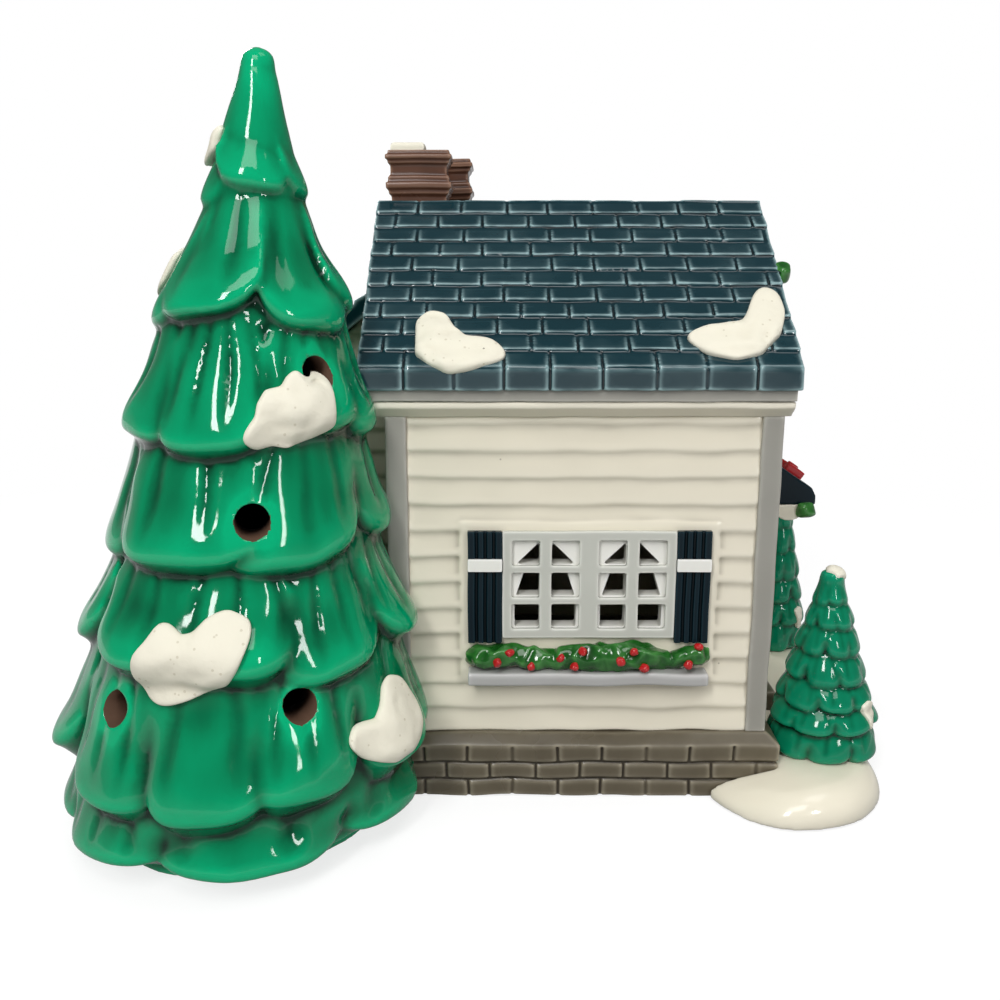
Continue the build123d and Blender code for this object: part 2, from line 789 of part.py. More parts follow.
def panelled_door():
    """Door leaf with four sunk panels, standing in the wall opening."""
    back = door_recess + door_thickness
    leaf = block(-door_width / 2, door_width / 2, door_recess, back, door_bottom, door_top)
    rail = door_width / 7
    panel_width = (door_width - 3 * rail) / 2
    panel_height = (door_height - 3 * rail) / 2
    sunk = []
    for column in (-1, 1):
        for row in (0, 1):
            x = column * (panel_width + rail) / 2
            z = door_bottom + rail + row * (panel_height + rail)
            sunk.append(block(x - panel_width / 2, x + panel_width / 2, 0, door_recess + door_thickness / 3,
                              z, z + panel_height))
    return leaf.cut(*sunk)


def door_surround():
    """Flat frame on both sides of the door and over it."""
    outer = door_width / 2 + door_frame_width
    board = block(-outer, outer, -door_frame_thickness, 0, door_bottom, door_top + door_frame_width)
    gap = block(-door_width / 2, door_width / 2, -tall, tall, 0, door_top)
    return board - gap


front_door = door_place * panelled_door()
door_frame = door_place * door_surround()
knob_z = door_bottom + 0.48 * door_height
knob_x = door_width / 2 - door_width / 14
door_knob = door_place * Pos(knob_x, door_recess - knob_radius, knob_z) * Sphere(knob_radius)
step_x = front_x + foundation_overhang
front_step = block(step_x, step_x + step_depth, -door_width, door_width, 0, stone_top)

hood_top = hood_bottom + hood_rise
hood_nose = front_x + hood_reach
hood_points = [
    (front_x, hood_bottom), (hood_nose, hood_bottom), (hood_nose, hood_bottom + hood_nose_height / 2),
    (hood_nose - hood_nose_lean, hood_bottom + hood_nose_height), (front_x, hood_top),
]
door_hood = prism_y(hood_points, -hood_half_width, hood_half_width)
door_hood = fillet(door_hood.edges().filter_by(Axis.Y).sort_by(Axis.X)[-3:], hood_nose_height / 8)
house_walls = biggest(house_walls - door_hood)

valance_x = hood_nose - valance_radius - hood_bead_radius
hood_valance = Pos(valance_x, 0, hood_bottom) * Rot(90, 0, 0) * Cylinder(valance_radius, 2 * hood_half_width)
hood_valance = hood_valance & block(0, tall, -tall, tall, 0, hood_bottom)
hood_bead_step = 2 * hood_half_width / (hood_beads - 1)
hood_bead_z = hood_bottom - 0.6 * hood_bead_radius
hood_garland = bead_chain(
    [(hood_nose - hood_bead_radius, (i - (hood_beads - 1) / 2) * hood_bead_step, hood_bead_z)
     for i in range(hood_beads)], hood_bead_radius * 1.15)
hood_garland = biggest(hood_garland.cut(door_hood, hood_valance))


def ribbon_bow():
    """Plain flat bow that rests on the sloping top of the hood."""
    half = bow_span / 2
    points = [
        (-half, -half * 0.55), (-half * 0.2, -half * 0.15), (half * 0.2, -half * 0.15), (half, -half * 0.55),
        (half, half * 0.55), (half * 0.2, half * 0.2), (-half * 0.2, half * 0.2), (-half, half * 0.55),
    ]
    bow = prism_z(points, -bow_thickness, bow_thickness)
    knot = Cylinder(half * 0.34, 2 * bow_thickness + 1.0)
    fall = math.degrees(math.atan2(hood_rise - hood_nose_height, hood_reach - hood_nose_lean))
    middle = (front_x + hood_nose) / 2
    past_middle = hood_nose - hood_nose_lean - middle
    level = hood_bottom + hood_nose_height + past_middle * math.tan(math.radians(fall))
    return biggest((Pos(middle, 0, level) * Rot(0, fall, 0) * Rot(0, 0, 90) * (bow + knot)) - door_hood)


hood_bow = ribbon_bow()

gable_centres = []
for i in range(-gable_beads_per_side, gable_beads_per_side + 1):
    share = i / gable_beads_per_side
    bead_x = front_x + gable_swag_reach + gable_swag_spread * share ** 4
    bead_z = gable_swag_low + gable_swag_sag * share ** 2
    gable_centres.append((bead_x, share * gable_swag_half_span, bead_z))
gable_garland = bead_chain(gable_centres, gable_bead_radius)
gable_garland = gable_garland & block(front_x + board_lap, tall, -tall, tall, 0, tall)
gable_garland = biggest(gable_garland.cut(main_roof, front_rake_boards))


# Snow yard and tiered trees

front_yard_snow = rounded_pad(yard_outline, 0, yard_height, yard_round)
front_yard_snow = biggest(front_yard_snow.cut(foundation_block, front_step))


def lobed_face(x, y, z, radius, depth, lobes, turn):
    """Level slice of a bough tier: equal rounded lobes round the trunk."""
    step = 2 * math.pi / lobes

    def at(angle, r):
        return (r * math.cos(angle), r * math.sin(angle))

    arcs = []
    for k in range(lobes):
        start = turn + k * step
        valley = radius * (1 - 2 * depth)
        arcs.append(ThreePointArc(at(start, valley), at(start + step / 2, radius), at(start + step, valley)))
    return Pos(x, y, z) * make_face(arcs)


def bough_radius(neck, rim, along, flare):
    """Radius of a bough from its neck, where along is 0, to the end of its rolled lip."""
    under = max(0.0, (along - bough_roll_start) / (1 - bough_roll_start))
    spread = bough_spread * ((1 - flare) * along + flare * along**1.8)
    return neck + (rim - neck) * (spread - bough_roll * (1 - math.sqrt(1 - under**2)))


def tier_sections(rims, height, tip_radius, index):
    """Heights, radii and lobe strengths of one tier, from its rolled lip up into the tier above."""
    rim_z, rim = rims[index]
    neck, top_z, flare = tip_radius, height, spire_flare
    if index + 1 < len(rims):
        next_z, next_rim = rims[index + 1]
        neck = bough_neck * next_rim
        top_z = next_z + bough_overlap * (next_z - rim_z)
        flare = bough_flare
    sections = []
    for along in (1.0, 0.9, 0.7, 0.35, 0.0):
        level = top_z + along * (rim_z - top_z)
        sections.append((level, bough_radius(neck, rim, along, flare), 0.4 + 0.6 * along))
    return sections


def lip_notches(place, rim, span, lobes, first):
    """Arched gaps between the lips of neighbouring boughs, cut in from outside."""
    wide = bough_notch_width * math.pi * rim / lobes
    high = bough_notch_height * span
    notches = []
    for k in range(lobes):
        angle = first + 360 / lobes * (k + 0.5)
        spot = Pos(*place) * Rot(0, 0, angle) * Rot(90, 0, 0) * Pos(0, 0, bough_notch_start * rim)
        notches.append(spot * extrude(Ellipse(wide, high), amount=rim, dir=(0, 0, 1)))
    return notches


def tiers(place, rims, boughs, height, tip_radius, depth, lean, grow=0.0):
    """Bough tiers of a tree as separate overlapping solids; grow thickens every tier."""
    x, y, z = place
    solids = []
    for index, (lobes, first) in enumerate(boughs):
        turn = math.radians(first - 90) - math.pi / lobes
        faces = []
        for level, radius, strength in tier_sections(rims, height, tip_radius, index):
            faces.append(lobed_face(x + lean * level, y, z + level, radius + grow, depth * strength,
                                    lobes, turn))
        solids.append(loft(faces))
    return solids


def notched_tiers():
    """Bough tiers of the fir tree with the gaps between their lips."""
    solids = []
    for index, tier in enumerate(tree_tiers()):
        rim_z, rim = tree_rims[index]
        lobes, first = tree_boughs[index]
        top_z = tier.bounding_box().max.Z
        place = (tree_place(rim_z), tree_y, rim_z)
        solids.append(biggest(tier.cut(*lip_notches(place, rim, top_z - rim_z, lobes, first))))
    return solids


def topiary(place, stretch, girth):
    """Clipped evergreen on the snow of the yard, with its snow cap."""
    x, y = place
    rims = [(stretch * z, girth * rim) for z, rim in topiary_rims]
    height = stretch * topiary_height
    tree = joined(tiers((x, y, yard_height), rims, topiary_boughs, height, topiary_tip_radius,
                        topiary_lobe_depth, 0.0))
    foot_z, foot_rim = rims[0]
    foot = Pos(x, y, yard_height + foot_z / 2) * Cylinder(foot_rim * topiary_foot, foot_z)
    tree = biggest(tree + foot)
    top = yard_height + height
    crown = Pos(x, y, top - topiary_tip_radius) * Sphere(topiary_cap_radius)
    cap_zone = block(0, tall, -tall, tall, top - topiary_cap_height, tall)
    return tree, biggest((crown & cap_zone) - tree)


near_topiary, near_topiary_cap = topiary(near_topiary_place, 1.0, 1.0)
far_topiary, far_topiary_cap = topiary(far_topiary_place, far_topiary_stretch, far_topiary_girth)


def tree_place(z):
    """Middle of the fir tree at a height."""
    return tree_x + tree_lean * z


def tree_tiers(grow=0.0):
    """Bough tiers of the fir tree."""
    return tiers((tree_x, tree_y, 0), tree_rims, tree_boughs, tree_height, tree_tip_radius,
                 tree_lobe_depth, tree_lean, grow)


def tree_cavity():
    """Hollow inside the tree that carries the light."""
    faces = []
    for z, rim in tree_rims[1:]:
        radius = max(2.0, bough_neck * rim * (1 - tree_lobe_depth) - tree_wall)
        faces.append(Pos(tree_place(z), tree_y, z) * Circle(radius))
    low = tree_rims[0][0] + tree_wall
    faces.insert(0, Pos(tree_place(low), tree_y, low) * Circle(tree_foot_radius - tree_wall))
    well = Cylinder(tree_foot_radius - tree_wall, low - tree_floor)
    well = Pos(tree_x, tree_y, (tree_floor + low) / 2) * well
    return loft(faces, ruled=True) + well


def tree_rays():
    """Radial bores of the light holes; the angle is measured from the photographed side."""
    bores = []
    reach = 2 * tree_rims[0][1]
    for angle, z in light_holes:
        bore = Pos(tree_place(z), tree_y, z) * Rot(0, 0, angle) * Rot(90, 0, 0) * Pos(0, 0, reach / 2)
        bores.append(bore * Cylinder(light_hole_radius, reach))
    return bores


tree_foot = Pos(tree_x, tree_y, tree_rims[0][0]) * Cylinder(tree_foot_radius, 2 * tree_rims[0][0])
wall_zone = prism_z(outset(footprint, board_lap), 0, tall) & (main_under + wing_under)
house_zone = [foundation_block, wall_zone, main_below & block(-tall, tall, -tall, tall, eave_height, tall)]
house_zone += [wing_below & block(-tall, tall, -tall, tall, wing_eave_height, tall)]
house_zone += [*corner_boards, *eave_crown, *eave_fascia, wing_fascia, rear_rake_boards]
tree_solid = joined(notched_tiers() + [tree_foot])
passage = rod_x(tree_place(light_passage_z), rear_x + wall_thickness, light_passage_y, light_passage_z,
                light_passage_radius)
tree_shell = biggest(tree_solid.cut(tree_cavity(), passage, *tree_rays(), *house_zone))


def tree_snow_pads():
    """Snow lying on the boughs, following their surface."""
    grown = joined(tree_tiers(tree_snow_thickness))
    pads = []
    for angle, z, width, height in tree_snow:
        reach = 2 * tree_rims[0][1]
        spot = Pos(tree_place(z), tree_y, z) * Rot(0, 0, angle) * Rot(90, 0, 0)
        column = spot * extrude(Ellipse(width / 2, height / 2), amount=reach, dir=(0, 0, 1))
        pads.append(biggest((column & grown).cut(tree_solid, *tree_rays(), *house_zone)))
    return pads


tree_snow_patches = tree_snow_pads()


# Pull-out lamp, built along the local Z axis from the outside of the house inwards

lamp_seat = wing_x - lamp_pad_thickness
lamp_frame = Pos(lamp_seat, lamp_y, lamp_z) * Rot(0, 90, 0)
shell_outer = bulb_base_radius + bulb_fit + shell_wall
socket_floor = holder_length - socket_depth


def tube(radius, z0, z1):
    """Round bar along the local Z axis."""
    return Pos(0, 0, (z0 + z1) / 2) * Cylinder(radius, z1 - z0)


def holder():
    """Moulded holder with a stop flange, a socket and a cord inlet."""
    outer_end = -holder_flange_thickness - holder_cap_length
    body = tube(holder_radius, outer_end, holder_length)
    flange = tube(holder_flange_radius, -holder_flange_thickness, 0)
    body = body.fuse(flange)
    body = fillet(body.faces().sort_by(Axis.Z)[0].edges(), holder_cap_length / 4)
    socket = tube(shell_outer, socket_floor, holder_length + 1)
    inlet = tube(cord_inlet_radius, outer_end - 1, socket_floor - 2 * contact_thickness)
    return body.cut(socket, inlet)


def clip_leaf(side):
    """Bowed spring leaf on one side of the holder, with its root against the flange."""
    root = holder_radius + clip_root_gap
    middle = clip_length / 2
    points = [
        (clip_start, root), (middle, root + clip_bow), (clip_length, root + clip_bow - clip_hook),
        (clip_length, root + clip_bow - clip_hook + clip_thickness),
        (middle, root + clip_bow + clip_thickness), (clip_start, root + clip_thickness),
    ]
    strip = prism_y([(-side * height, along) for along, height in points], -clip_width / 2, clip_width / 2)
    return strip


def bulb_screw():
    """Threaded cap of the bulb."""
    top = socket_floor + contact_thickness + bulb_tip_length + bulb_base_length
    bottom = socket_floor + contact_thickness + bulb_tip_length
    core = tube(bulb_base_radius - bulb_thread_height, bottom, top)
    pitch = bulb_base_length / (bulb_thread_turns + 1)
    ridges = [tube(bulb_base_radius, bottom + (i + 0.75) * pitch, bottom + (i + 1.25) * pitch)
              for i in range(bulb_thread_turns)]
    return core.fuse(*ridges), bottom, top


lamp_holder = lamp_frame * holder()
screw_shell = tube(shell_outer, socket_floor, holder_length)
screw_shell = screw_shell - tube(bulb_base_radius + bulb_fit, socket_floor, holder_length + 1)
screw_shell = lamp_frame * screw_shell
centre_contact = lamp_frame * tube(contact_radius, socket_floor, socket_floor + contact_thickness)
clip_upper = lamp_frame * clip_leaf(1)
clip_lower = lamp_frame * clip_leaf(-1)
base_shape, base_bottom, base_top = bulb_screw()
bulb_base = lamp_frame * base_shape
bulb_tip = lamp_frame * tube(bulb_tip_radius, base_bottom - bulb_tip_length + 0.1, base_bottom)


def bulb_outline(shrink):
    """Half outline of the glass as a face in the local XZ plane."""
    neck = bulb_base_radius - bulb_thread_height - shrink
    wide = bulb_radius - shrink
    tip = base_top + bulb_length - shrink
    shoulder = (0.9 * wide, base_top + 0.17 * bulb_length)
    belly = (wide, base_top + 0.36 * bulb_length)
    crown_point = (0.78 * wide, base_top + 0.68 * bulb_length)
    curve = Spline((neck, base_top), shoulder, belly, crown_point, (0, tip), tangents=((0.5, 1), (-1, 0)))
    axis_line = Line((0, tip), (0, base_top))
    foot_line = Line((0, base_top), (neck, base_top))
    return Plane.XZ * make_face([curve, axis_line, foot_line])


bulb_solid = revolve(bulb_outline(0.0), Axis.Z)
bulb_glass = lamp_frame * (bulb_solid - revolve(bulb_outline(bulb_glass_wall), Axis.Z))


# One file for every named piece

pieces = {
    "floor_slab": floor_slab,
    "stone_foundation": stone_foundation,
    "house_walls": house_walls,
    "corner_boards": corner_boards,
    "eave_crown_moulding": eave_crown,
    "eave_fascia": eave_fascia,
    "front_rake_boards": front_rake_boards,
    "rear_rake_boards": rear_rake_boards,
    "wing_fascia": wing_fascia,
    "main_roof": main_roof,
    "wing_roof": wing_roof,
    "chimney_near": chimney_near,
    "chimney_far": chimney_far,
    "chimney_snow_cap": chimney_snow_cap,
    "roof_snow_left": roof_snow_left,
    "roof_snow_right": roof_snow_right,
    "roof_snow_far": roof_snow_far,
    "front_window_sashes": front_sashes,
    "front_window_curtains": front_curtains,
    "front_door": front_door,
    "door_frame": door_frame,
    "door_knob": door_knob,
    "front_step": front_step,
    "door_hood": door_hood,
    "hood_valance": hood_valance,
    "hood_garland": hood_garland,
    "hood_bow": hood_bow,
    "gable_garland": gable_garland,
    "front_yard_snow": front_yard_snow,
    "near_topiary": near_topiary,
    "far_topiary": far_topiary,
    "topiary_snow_caps": [near_topiary_cap, far_topiary_cap],
    "tree_shell": tree_shell,
    "tree_snow_patches": tree_snow_patches,
    "lamp_holder": lamp_holder,
    "screw_shell": screw_shell,
    "centre_contact": centre_contact,
    "clip_leaf_upper": clip_upper,
    "clip_leaf_lower": clip_lower,
    "bulb_base": bulb_base,
    "bulb_tip": bulb_tip,
    "bulb_glass": bulb_glass,
}
for side, place in (("near", near_place), ("far", far_place)):
    pieces[side + "_window_sashes"] = place * both_sashes
    pieces[side + "_window_curtains"] = place * window_curtains
    pieces[side + "_shutters"] = [place * item for item in shutters]
    pieces[side + "_shutter_bands"] = [place * item for item in shutter_bands]
    pieces[side + "_window_ledge"] = place * window_ledge
    pieces[side + "_window_garland"] = place * evergreen
    pieces[side + "_garland_berries"] = [place * item for item in berries]

os.makedirs("parts", exist_ok=True)
for name, shape in pieces.items():
    members = shape if isinstance(shape, list) else [shape]
    solids = [solid for member in members for solid in member.solids()]
    export_step(Compound(children=solids) if len(solids) > 1 else solids[0], f"parts/{name}.step")
    print(name, len(solids), round(sum(solid.volume for solid in solids), 1))
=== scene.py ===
# %% [markdown]
# # A glazed village house with its fir tree
# The real object is slip-cast earthenware: liquid clay is poured into plaster moulds, the parts are
# stuck together while damp, and every surface is brushed with glossy glaze. Two things give that look
# away: no edge is sharp, and the glaze is thin on ridges and deep in hollows. The lesson builds both
# effects once and then uses them on every piece, starting from the measured model.

# %% Load the measured model
import math
import random

import bmesh
import bpy
import numpy as np
from mathutils import Matrix, Vector, noise
from mathutils.bvhtree import BVHTree


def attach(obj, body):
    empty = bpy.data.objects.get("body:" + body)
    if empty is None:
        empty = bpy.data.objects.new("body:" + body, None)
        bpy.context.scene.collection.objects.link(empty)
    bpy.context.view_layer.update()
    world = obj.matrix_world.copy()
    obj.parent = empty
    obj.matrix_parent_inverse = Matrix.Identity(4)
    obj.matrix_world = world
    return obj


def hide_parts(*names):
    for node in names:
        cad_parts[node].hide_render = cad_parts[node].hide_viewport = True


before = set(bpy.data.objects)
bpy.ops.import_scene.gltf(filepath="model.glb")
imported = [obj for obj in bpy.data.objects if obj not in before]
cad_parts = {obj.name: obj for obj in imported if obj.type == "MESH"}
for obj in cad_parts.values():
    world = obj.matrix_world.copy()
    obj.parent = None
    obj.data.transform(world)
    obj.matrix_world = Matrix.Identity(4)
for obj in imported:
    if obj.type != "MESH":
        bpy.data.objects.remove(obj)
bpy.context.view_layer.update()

MM = 0.001

# %% [markdown]
# ## Soft cast edges
# Clay shrinks and glaze flows, so the corners of a casting are rounded by half a millimetre or so. A
# bevel on every edge would fail where boards, joints and lobes meet in awkward corners. A voxel
# remesh does better: it rebuilds the skin in small even cells and fuses everything that touches, and
# a few smoothing passes then round it as glaze would. The skin is thinned at the end to stay light.

# %% Cast a shape in clay
def merged_copy(name):
    """Welded copy of a measured piece."""
    clay = bmesh.new()
    clay.from_mesh(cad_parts[name].data)
    bmesh.ops.remove_doubles(clay, verts=clay.verts, dist=1e-6)
    return clay


def as_mesh(clay, name):
    """Turn a bmesh into a mesh and free it."""
    mesh = bpy.data.meshes.new(name)
    clay.to_mesh(mesh)
    clay.free()
    return mesh


def settled(mesh, setup):
    """The mesh after the modifiers that setup adds to it."""
    mould = bpy.data.objects.new("mould", mesh)
    bpy.context.scene.collection.objects.link(mould)
    setup(mould.modifiers)
    graph = bpy.context.evaluated_depsgraph_get()
    result = bpy.data.meshes.new_from_object(mould.evaluated_get(graph))
    result.name = mesh.name
    bpy.data.objects.remove(mould)
    return result


def cast(clay, name, cell, passes, most):
    """Cast shape: even cells of a size in millimetres, smoothed, and thinned to a triangle count."""
    def slip(modifiers):
        skin = modifiers.new("slip", "REMESH")
        skin.mode = "VOXEL"
        skin.voxel_size = cell * MM
        soft = modifiers.new("soften", "SMOOTH")
        soft.factor = 0.5
        soft.iterations = passes

    skin = settled(as_mesh(clay, name), slip)
    count = 2 * len(skin.polygons)
    if count > most:
        def thin(modifiers):
            modifiers.new("thin", "DECIMATE").ratio = most / count

        skin = settled(skin, thin)
    return skin


def uneven(mesh, amount, size, seed):
    """Shift a mesh by slow noise, as a hand-pressed mould does; amounts in millimetres."""
    offset = Vector((seed * 7.3, seed * 3.1, seed * 5.7))
    for vertex in mesh.vertices:
        vertex.co += noise.noise_vector(vertex.co / (size * MM) + offset) * amount * MM
        vertex.co.z = max(0.0, vertex.co.z)

# %% [markdown]
# ## Thin and pooled glaze, with painted shade and highlights
# Fired glaze is runny. It leaves ridges pale and fills grooves dark. The same colours also paint shade
# into hollows, creases and broad folds, and paint highlights on ridges and edges. The shader's
# Pointiness could find such places, but it changes with the size of the faces. So the value is measured
# on the mesh: where the neighbours of a point stand above its tangent plane, the point sits in a hollow.
# It is averaged over a few neighbours and stored as a point attribute. Broad folds are found by how far
# a point lies from a much smoothed copy of the skin, and get painted shade.

# %% Measure hollows and ridges
def measure_pooling_and_shade(mesh, spread, broad_shading):
    """Store the hollow (+) or ridge (-) value of each point: fine creases and, where asked, broad folds.
    Glazes use it for pooled glaze and painted shade, thin glaze and painted highlight.
    """
    count = len(mesh.vertices)
    place = np.empty(count * 3)
    mesh.vertices.foreach_get("co", place)
    place = place.reshape(-1, 3)
    outward = np.empty(count * 3)
    mesh.vertices.foreach_get("normal", outward)
    outward = outward.reshape(-1, 3)
    ends = np.empty(len(mesh.edges) * 2, dtype=np.int64)
    mesh.edges.foreach_get("vertices", ends)
    a, b = ends[0::2], ends[1::2]
    near = np.maximum(np.bincount(a, minlength=count) + np.bincount(b, minlength=count), 1)

    def averaged(values):
        around = np.bincount(a, values[b], count) + np.bincount(b, values[a], count)
        return (values + around / near) / 2

    step = place[b] - place[a]
    square = np.maximum((step ** 2).sum(1), 1e-12)
    hollow = np.bincount(a, (outward[a] * step).sum(1) / square, count)
    hollow -= np.bincount(b, (outward[b] * step).sum(1) / square, count)
    hollow = np.clip(hollow / near * MM, -2, 2)
    for _ in range(spread):
        hollow = averaged(hollow)
    # Broad folds get painted shade and broad bulges painted highlight: the value grows with the depth below
    # the smoothed skin.
    if broad_shading:
        soft = place.copy()
        for _ in range(broad_shading):
            soft = np.stack([averaged(soft[:, axis]) for axis in range(3)], axis=1)
        hollow = 0.5 * hollow + ((soft - place) * outward).sum(1) / MM
    field = mesh.attributes.new("pool_and_shade", "FLOAT", "POINT")
    field.data.foreach_set("value", hollow.astype(np.float32))
    return hollow

# %% Put a finished piece in place
def place_piece(name, mesh, nodes, finishes, spread=4, broad_shading=0):
    """Put a finished skin in the scene in place of measured pieces."""
    for polygon in mesh.polygons:
        polygon.use_smooth = True
    hollow = measure_pooling_and_shade(mesh, spread, broad_shading)
    parts = np.empty(len(mesh.polygons), dtype=np.int32)
    mesh.polygons.foreach_get("material_index", parts)
    mesh.materials.clear()
    for finish in finishes:
        mesh.materials.append(finish)
    mesh.polygons.foreach_set("material_index", np.minimum(parts, len(mesh.materials) - 1))
    piece = bpy.data.objects.new(name, mesh)
    bpy.context.scene.collection.objects.link(piece)
    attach(piece, "house")
    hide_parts(*nodes)
    print(name, "faces", len(mesh.polygons), "pool_and_shade", np.percentile(hollow, [2, 50, 98]).round(2))

# %% [markdown]
# ## Glaze as node groups
# All the finishes share a few effects. Each material could hold all the nodes itself, but then a change
# to one effect would have to be made in every glaze, so each effect is one shader group. The first group
# mixes three colours by the pooling attribute: pale on ridges for thin glaze and painted highlight, dark
# in hollows for pooled glaze and painted shade. It lets the tone drift a little, because brushed glaze is
# never even. "Glaze skin" gives the faint ripple that breaks up reflections. "Kiln specks" are the tiny
# dark iron spots in fired clay, and "Snow grit" is the bubbly matte glaze used for snow, with darkened pits.

# %% Colours, sockets and mixes
def colour(red, green, blue):
    """Colour picker numbers from 0 to 255 as the linear values that shaders use."""
    values = [c / 255 for c in (red, green, blue)]
    return (*[c / 12.92 if c <= 0.04045 else ((c + 0.055) / 1.055) ** 2.4 for c in values], 1.0)


def new_group(name, inputs, outputs):
    """Empty shader group with named sockets."""
    kinds = {"c": "NodeSocketColor", "f": "NodeSocketFloat"}
    tree = bpy.data.node_groups.new(name, "ShaderNodeTree")
    for label, kind, value in inputs:
        tree.interface.new_socket(label, in_out="INPUT", socket_type=kinds[kind]).default_value = value
    for label, kind in outputs:
        tree.interface.new_socket(label, in_out="OUTPUT", socket_type=kinds[kind])
    return tree, tree.nodes.new("NodeGroupInput"), tree.nodes.new("NodeGroupOutput")


def wire(tree, source, target):
    """Link two sockets."""
    tree.links.new(source, target)


def feed(tree, value, target):
    """Give a socket a number or a colour, or link another socket to it."""
    if isinstance(value, (int, float, tuple)):
        target.default_value = value
    else:
        wire(tree, value, target)


def maths(tree, kind, first, second, clamp=False):
    """Math node; each operand is a socket or a number."""
    node = tree.nodes.new("ShaderNodeMath")
    node.operation = kind
    node.use_clamp = clamp
    for socket, value in zip(node.inputs, (first, second)):
        feed(tree, value, socket)
    return node.outputs[0]


def blend(tree, amount, first, second):
    """Colour mix; each part is a socket or a colour. The node's colour sockets are numbers 6 and 7."""
    node = tree.nodes.new("ShaderNodeMix")
    node.data_type = "RGBA"
    for index, value in ((0, amount), (6, first), (7, second)):
        feed(tree, value, node.inputs[index])
    return node.outputs[2]

# %% Patterns on the surface
def drift(tree, scale, detail, stretch=(1, 1, 1)):
    """Noise on object coordinates; scale is a socket or a number per metre."""
    where = tree.nodes.new("ShaderNodeTexCoord").outputs["Object"]
    turn = tree.nodes.new("ShaderNodeMapping")
    turn.inputs["Scale"].default_value = stretch
    wire(tree, where, turn.inputs["Vector"])
    node = tree.nodes.new("ShaderNodeTexNoise")
    node.inputs["Detail"].default_value = detail
    wire(tree, turn.outputs["Vector"], node.inputs["Vector"])
    feed(tree, scale, node.inputs["Scale"])
    return node.outputs["Fac"]


def cells(tree, scale):
    """Distances in a cell pattern on object coordinates, and three random values for each cell."""
    where = tree.nodes.new("ShaderNodeTexCoord").outputs["Object"]
    node = tree.nodes.new("ShaderNodeTexVoronoi")
    node.inputs["Scale"].default_value = scale
    wire(tree, where, node.inputs["Vector"])
    lottery = tree.nodes.new("ShaderNodeSeparateColor")
    wire(tree, node.outputs["Color"], lottery.inputs[0])
    return node.outputs["Distance"], lottery.outputs

# %% The glaze depth group, with painted shade and highlights
# The ridge colour stands for thin glaze and painted highlight, the hollow colour for pooled glaze and painted
# shade.
glaze_depth_and_shade, take, give = new_group(
    "Glaze depth and shade",
    [("Body", "c", (0.5, 0.5, 0.5, 1)), ("Thin", "c", (0.8, 0.8, 0.8, 1)),
     ("Pooled", "c", (0.1, 0.1, 0.1, 1)), ("Reach", "f", 3.0), ("Drift", "f", 0.15),
     ("Drift scale", "f", 60.0)],
    [("Color", "c")])
pool_and_shade = glaze_depth_and_shade.nodes.new("ShaderNodeAttribute")
pool_and_shade.attribute_name = "pool_and_shade"
depth = maths(glaze_depth_and_shade, "MULTIPLY", pool_and_shade.outputs["Fac"], take.outputs["Reach"])
clouds = drift(glaze_depth_and_shade, take.outputs["Drift scale"], 3.0, (1, 1, 0.5))
tone = maths(glaze_depth_and_shade, "MULTIPLY", maths(glaze_depth_and_shade, "SUBTRACT", clouds, 0.5), take.outputs["Drift"])
deep = maths(glaze_depth_and_shade, "ADD", depth, maths(glaze_depth_and_shade, "MULTIPLY", tone, 2.0), True)
thin = maths(glaze_depth_and_shade, "SUBTRACT", maths(glaze_depth_and_shade, "MULTIPLY", depth, -1.0), tone, True)
tint = blend(glaze_depth_and_shade, deep, take.outputs["Body"], take.outputs["Pooled"])
tint = blend(glaze_depth_and_shade, thin, tint, take.outputs["Thin"])
wire(glaze_depth_and_shade, tint, give.inputs["Color"])
print("group", glaze_depth_and_shade.name, len(glaze_depth_and_shade.nodes), "nodes")

# %% Glaze skin
glaze_skin, take, give = new_group(
    "Glaze skin", [("Rough low", "f", 0.05), ("Rough high", "f", 0.14)],
    [("Roughness", "f"), ("Height", "f")])
spread = maths(glaze_skin, "SUBTRACT", take.outputs["Rough high"], take.outputs["Rough low"])
smear = maths(glaze_skin, "MULTIPLY", drift(glaze_skin, 45.0, 4.0), spread)
wire(glaze_skin, maths(glaze_skin, "ADD", smear, take.outputs["Rough low"]), give.inputs["Roughness"])
swell = maths(glaze_skin, "MULTIPLY", drift(glaze_skin, 140.0, 1.0), 0.8)
peel = maths(glaze_skin, "MULTIPLY", drift(glaze_skin, 600.0, 1.0), 0.12)
wire(glaze_skin, maths(glaze_skin, "ADD", swell, peel), give.inputs["Height"])
print("group", glaze_skin.name, len(glaze_skin.nodes), "nodes")

# %% Kiln specks and snow grit
kiln_specks, take, give = new_group(
    "Kiln specks", [("Color", "c", (1, 1, 1, 1)), ("Speck", "c", (0.2, 0.15, 0.1, 1)), ("Amount", "f", 0.5)],
    [("Color", "c")])
distance, lottery = cells(kiln_specks, 260.0)
dot = maths(kiln_specks, "LESS_THAN", distance, 0.06)
dot = maths(kiln_specks, "MULTIPLY", dot, maths(kiln_specks, "GREATER_THAN", lottery[0], 0.9))
dot = maths(kiln_specks, "MULTIPLY", dot, take.outputs["Amount"])
speckled = blend(kiln_specks, dot, take.outputs["Color"], take.outputs["Speck"])
wire(kiln_specks, speckled, give.inputs["Color"])

snow_grit, take, give = new_group(
    "Snow grit", [("Color", "c", (1, 1, 1, 1)), ("Pit", "c", (0.6, 0.55, 0.45, 1))],
    [("Color", "c"), ("Height", "f")])
distance, lottery = cells(snow_grit, 700.0)
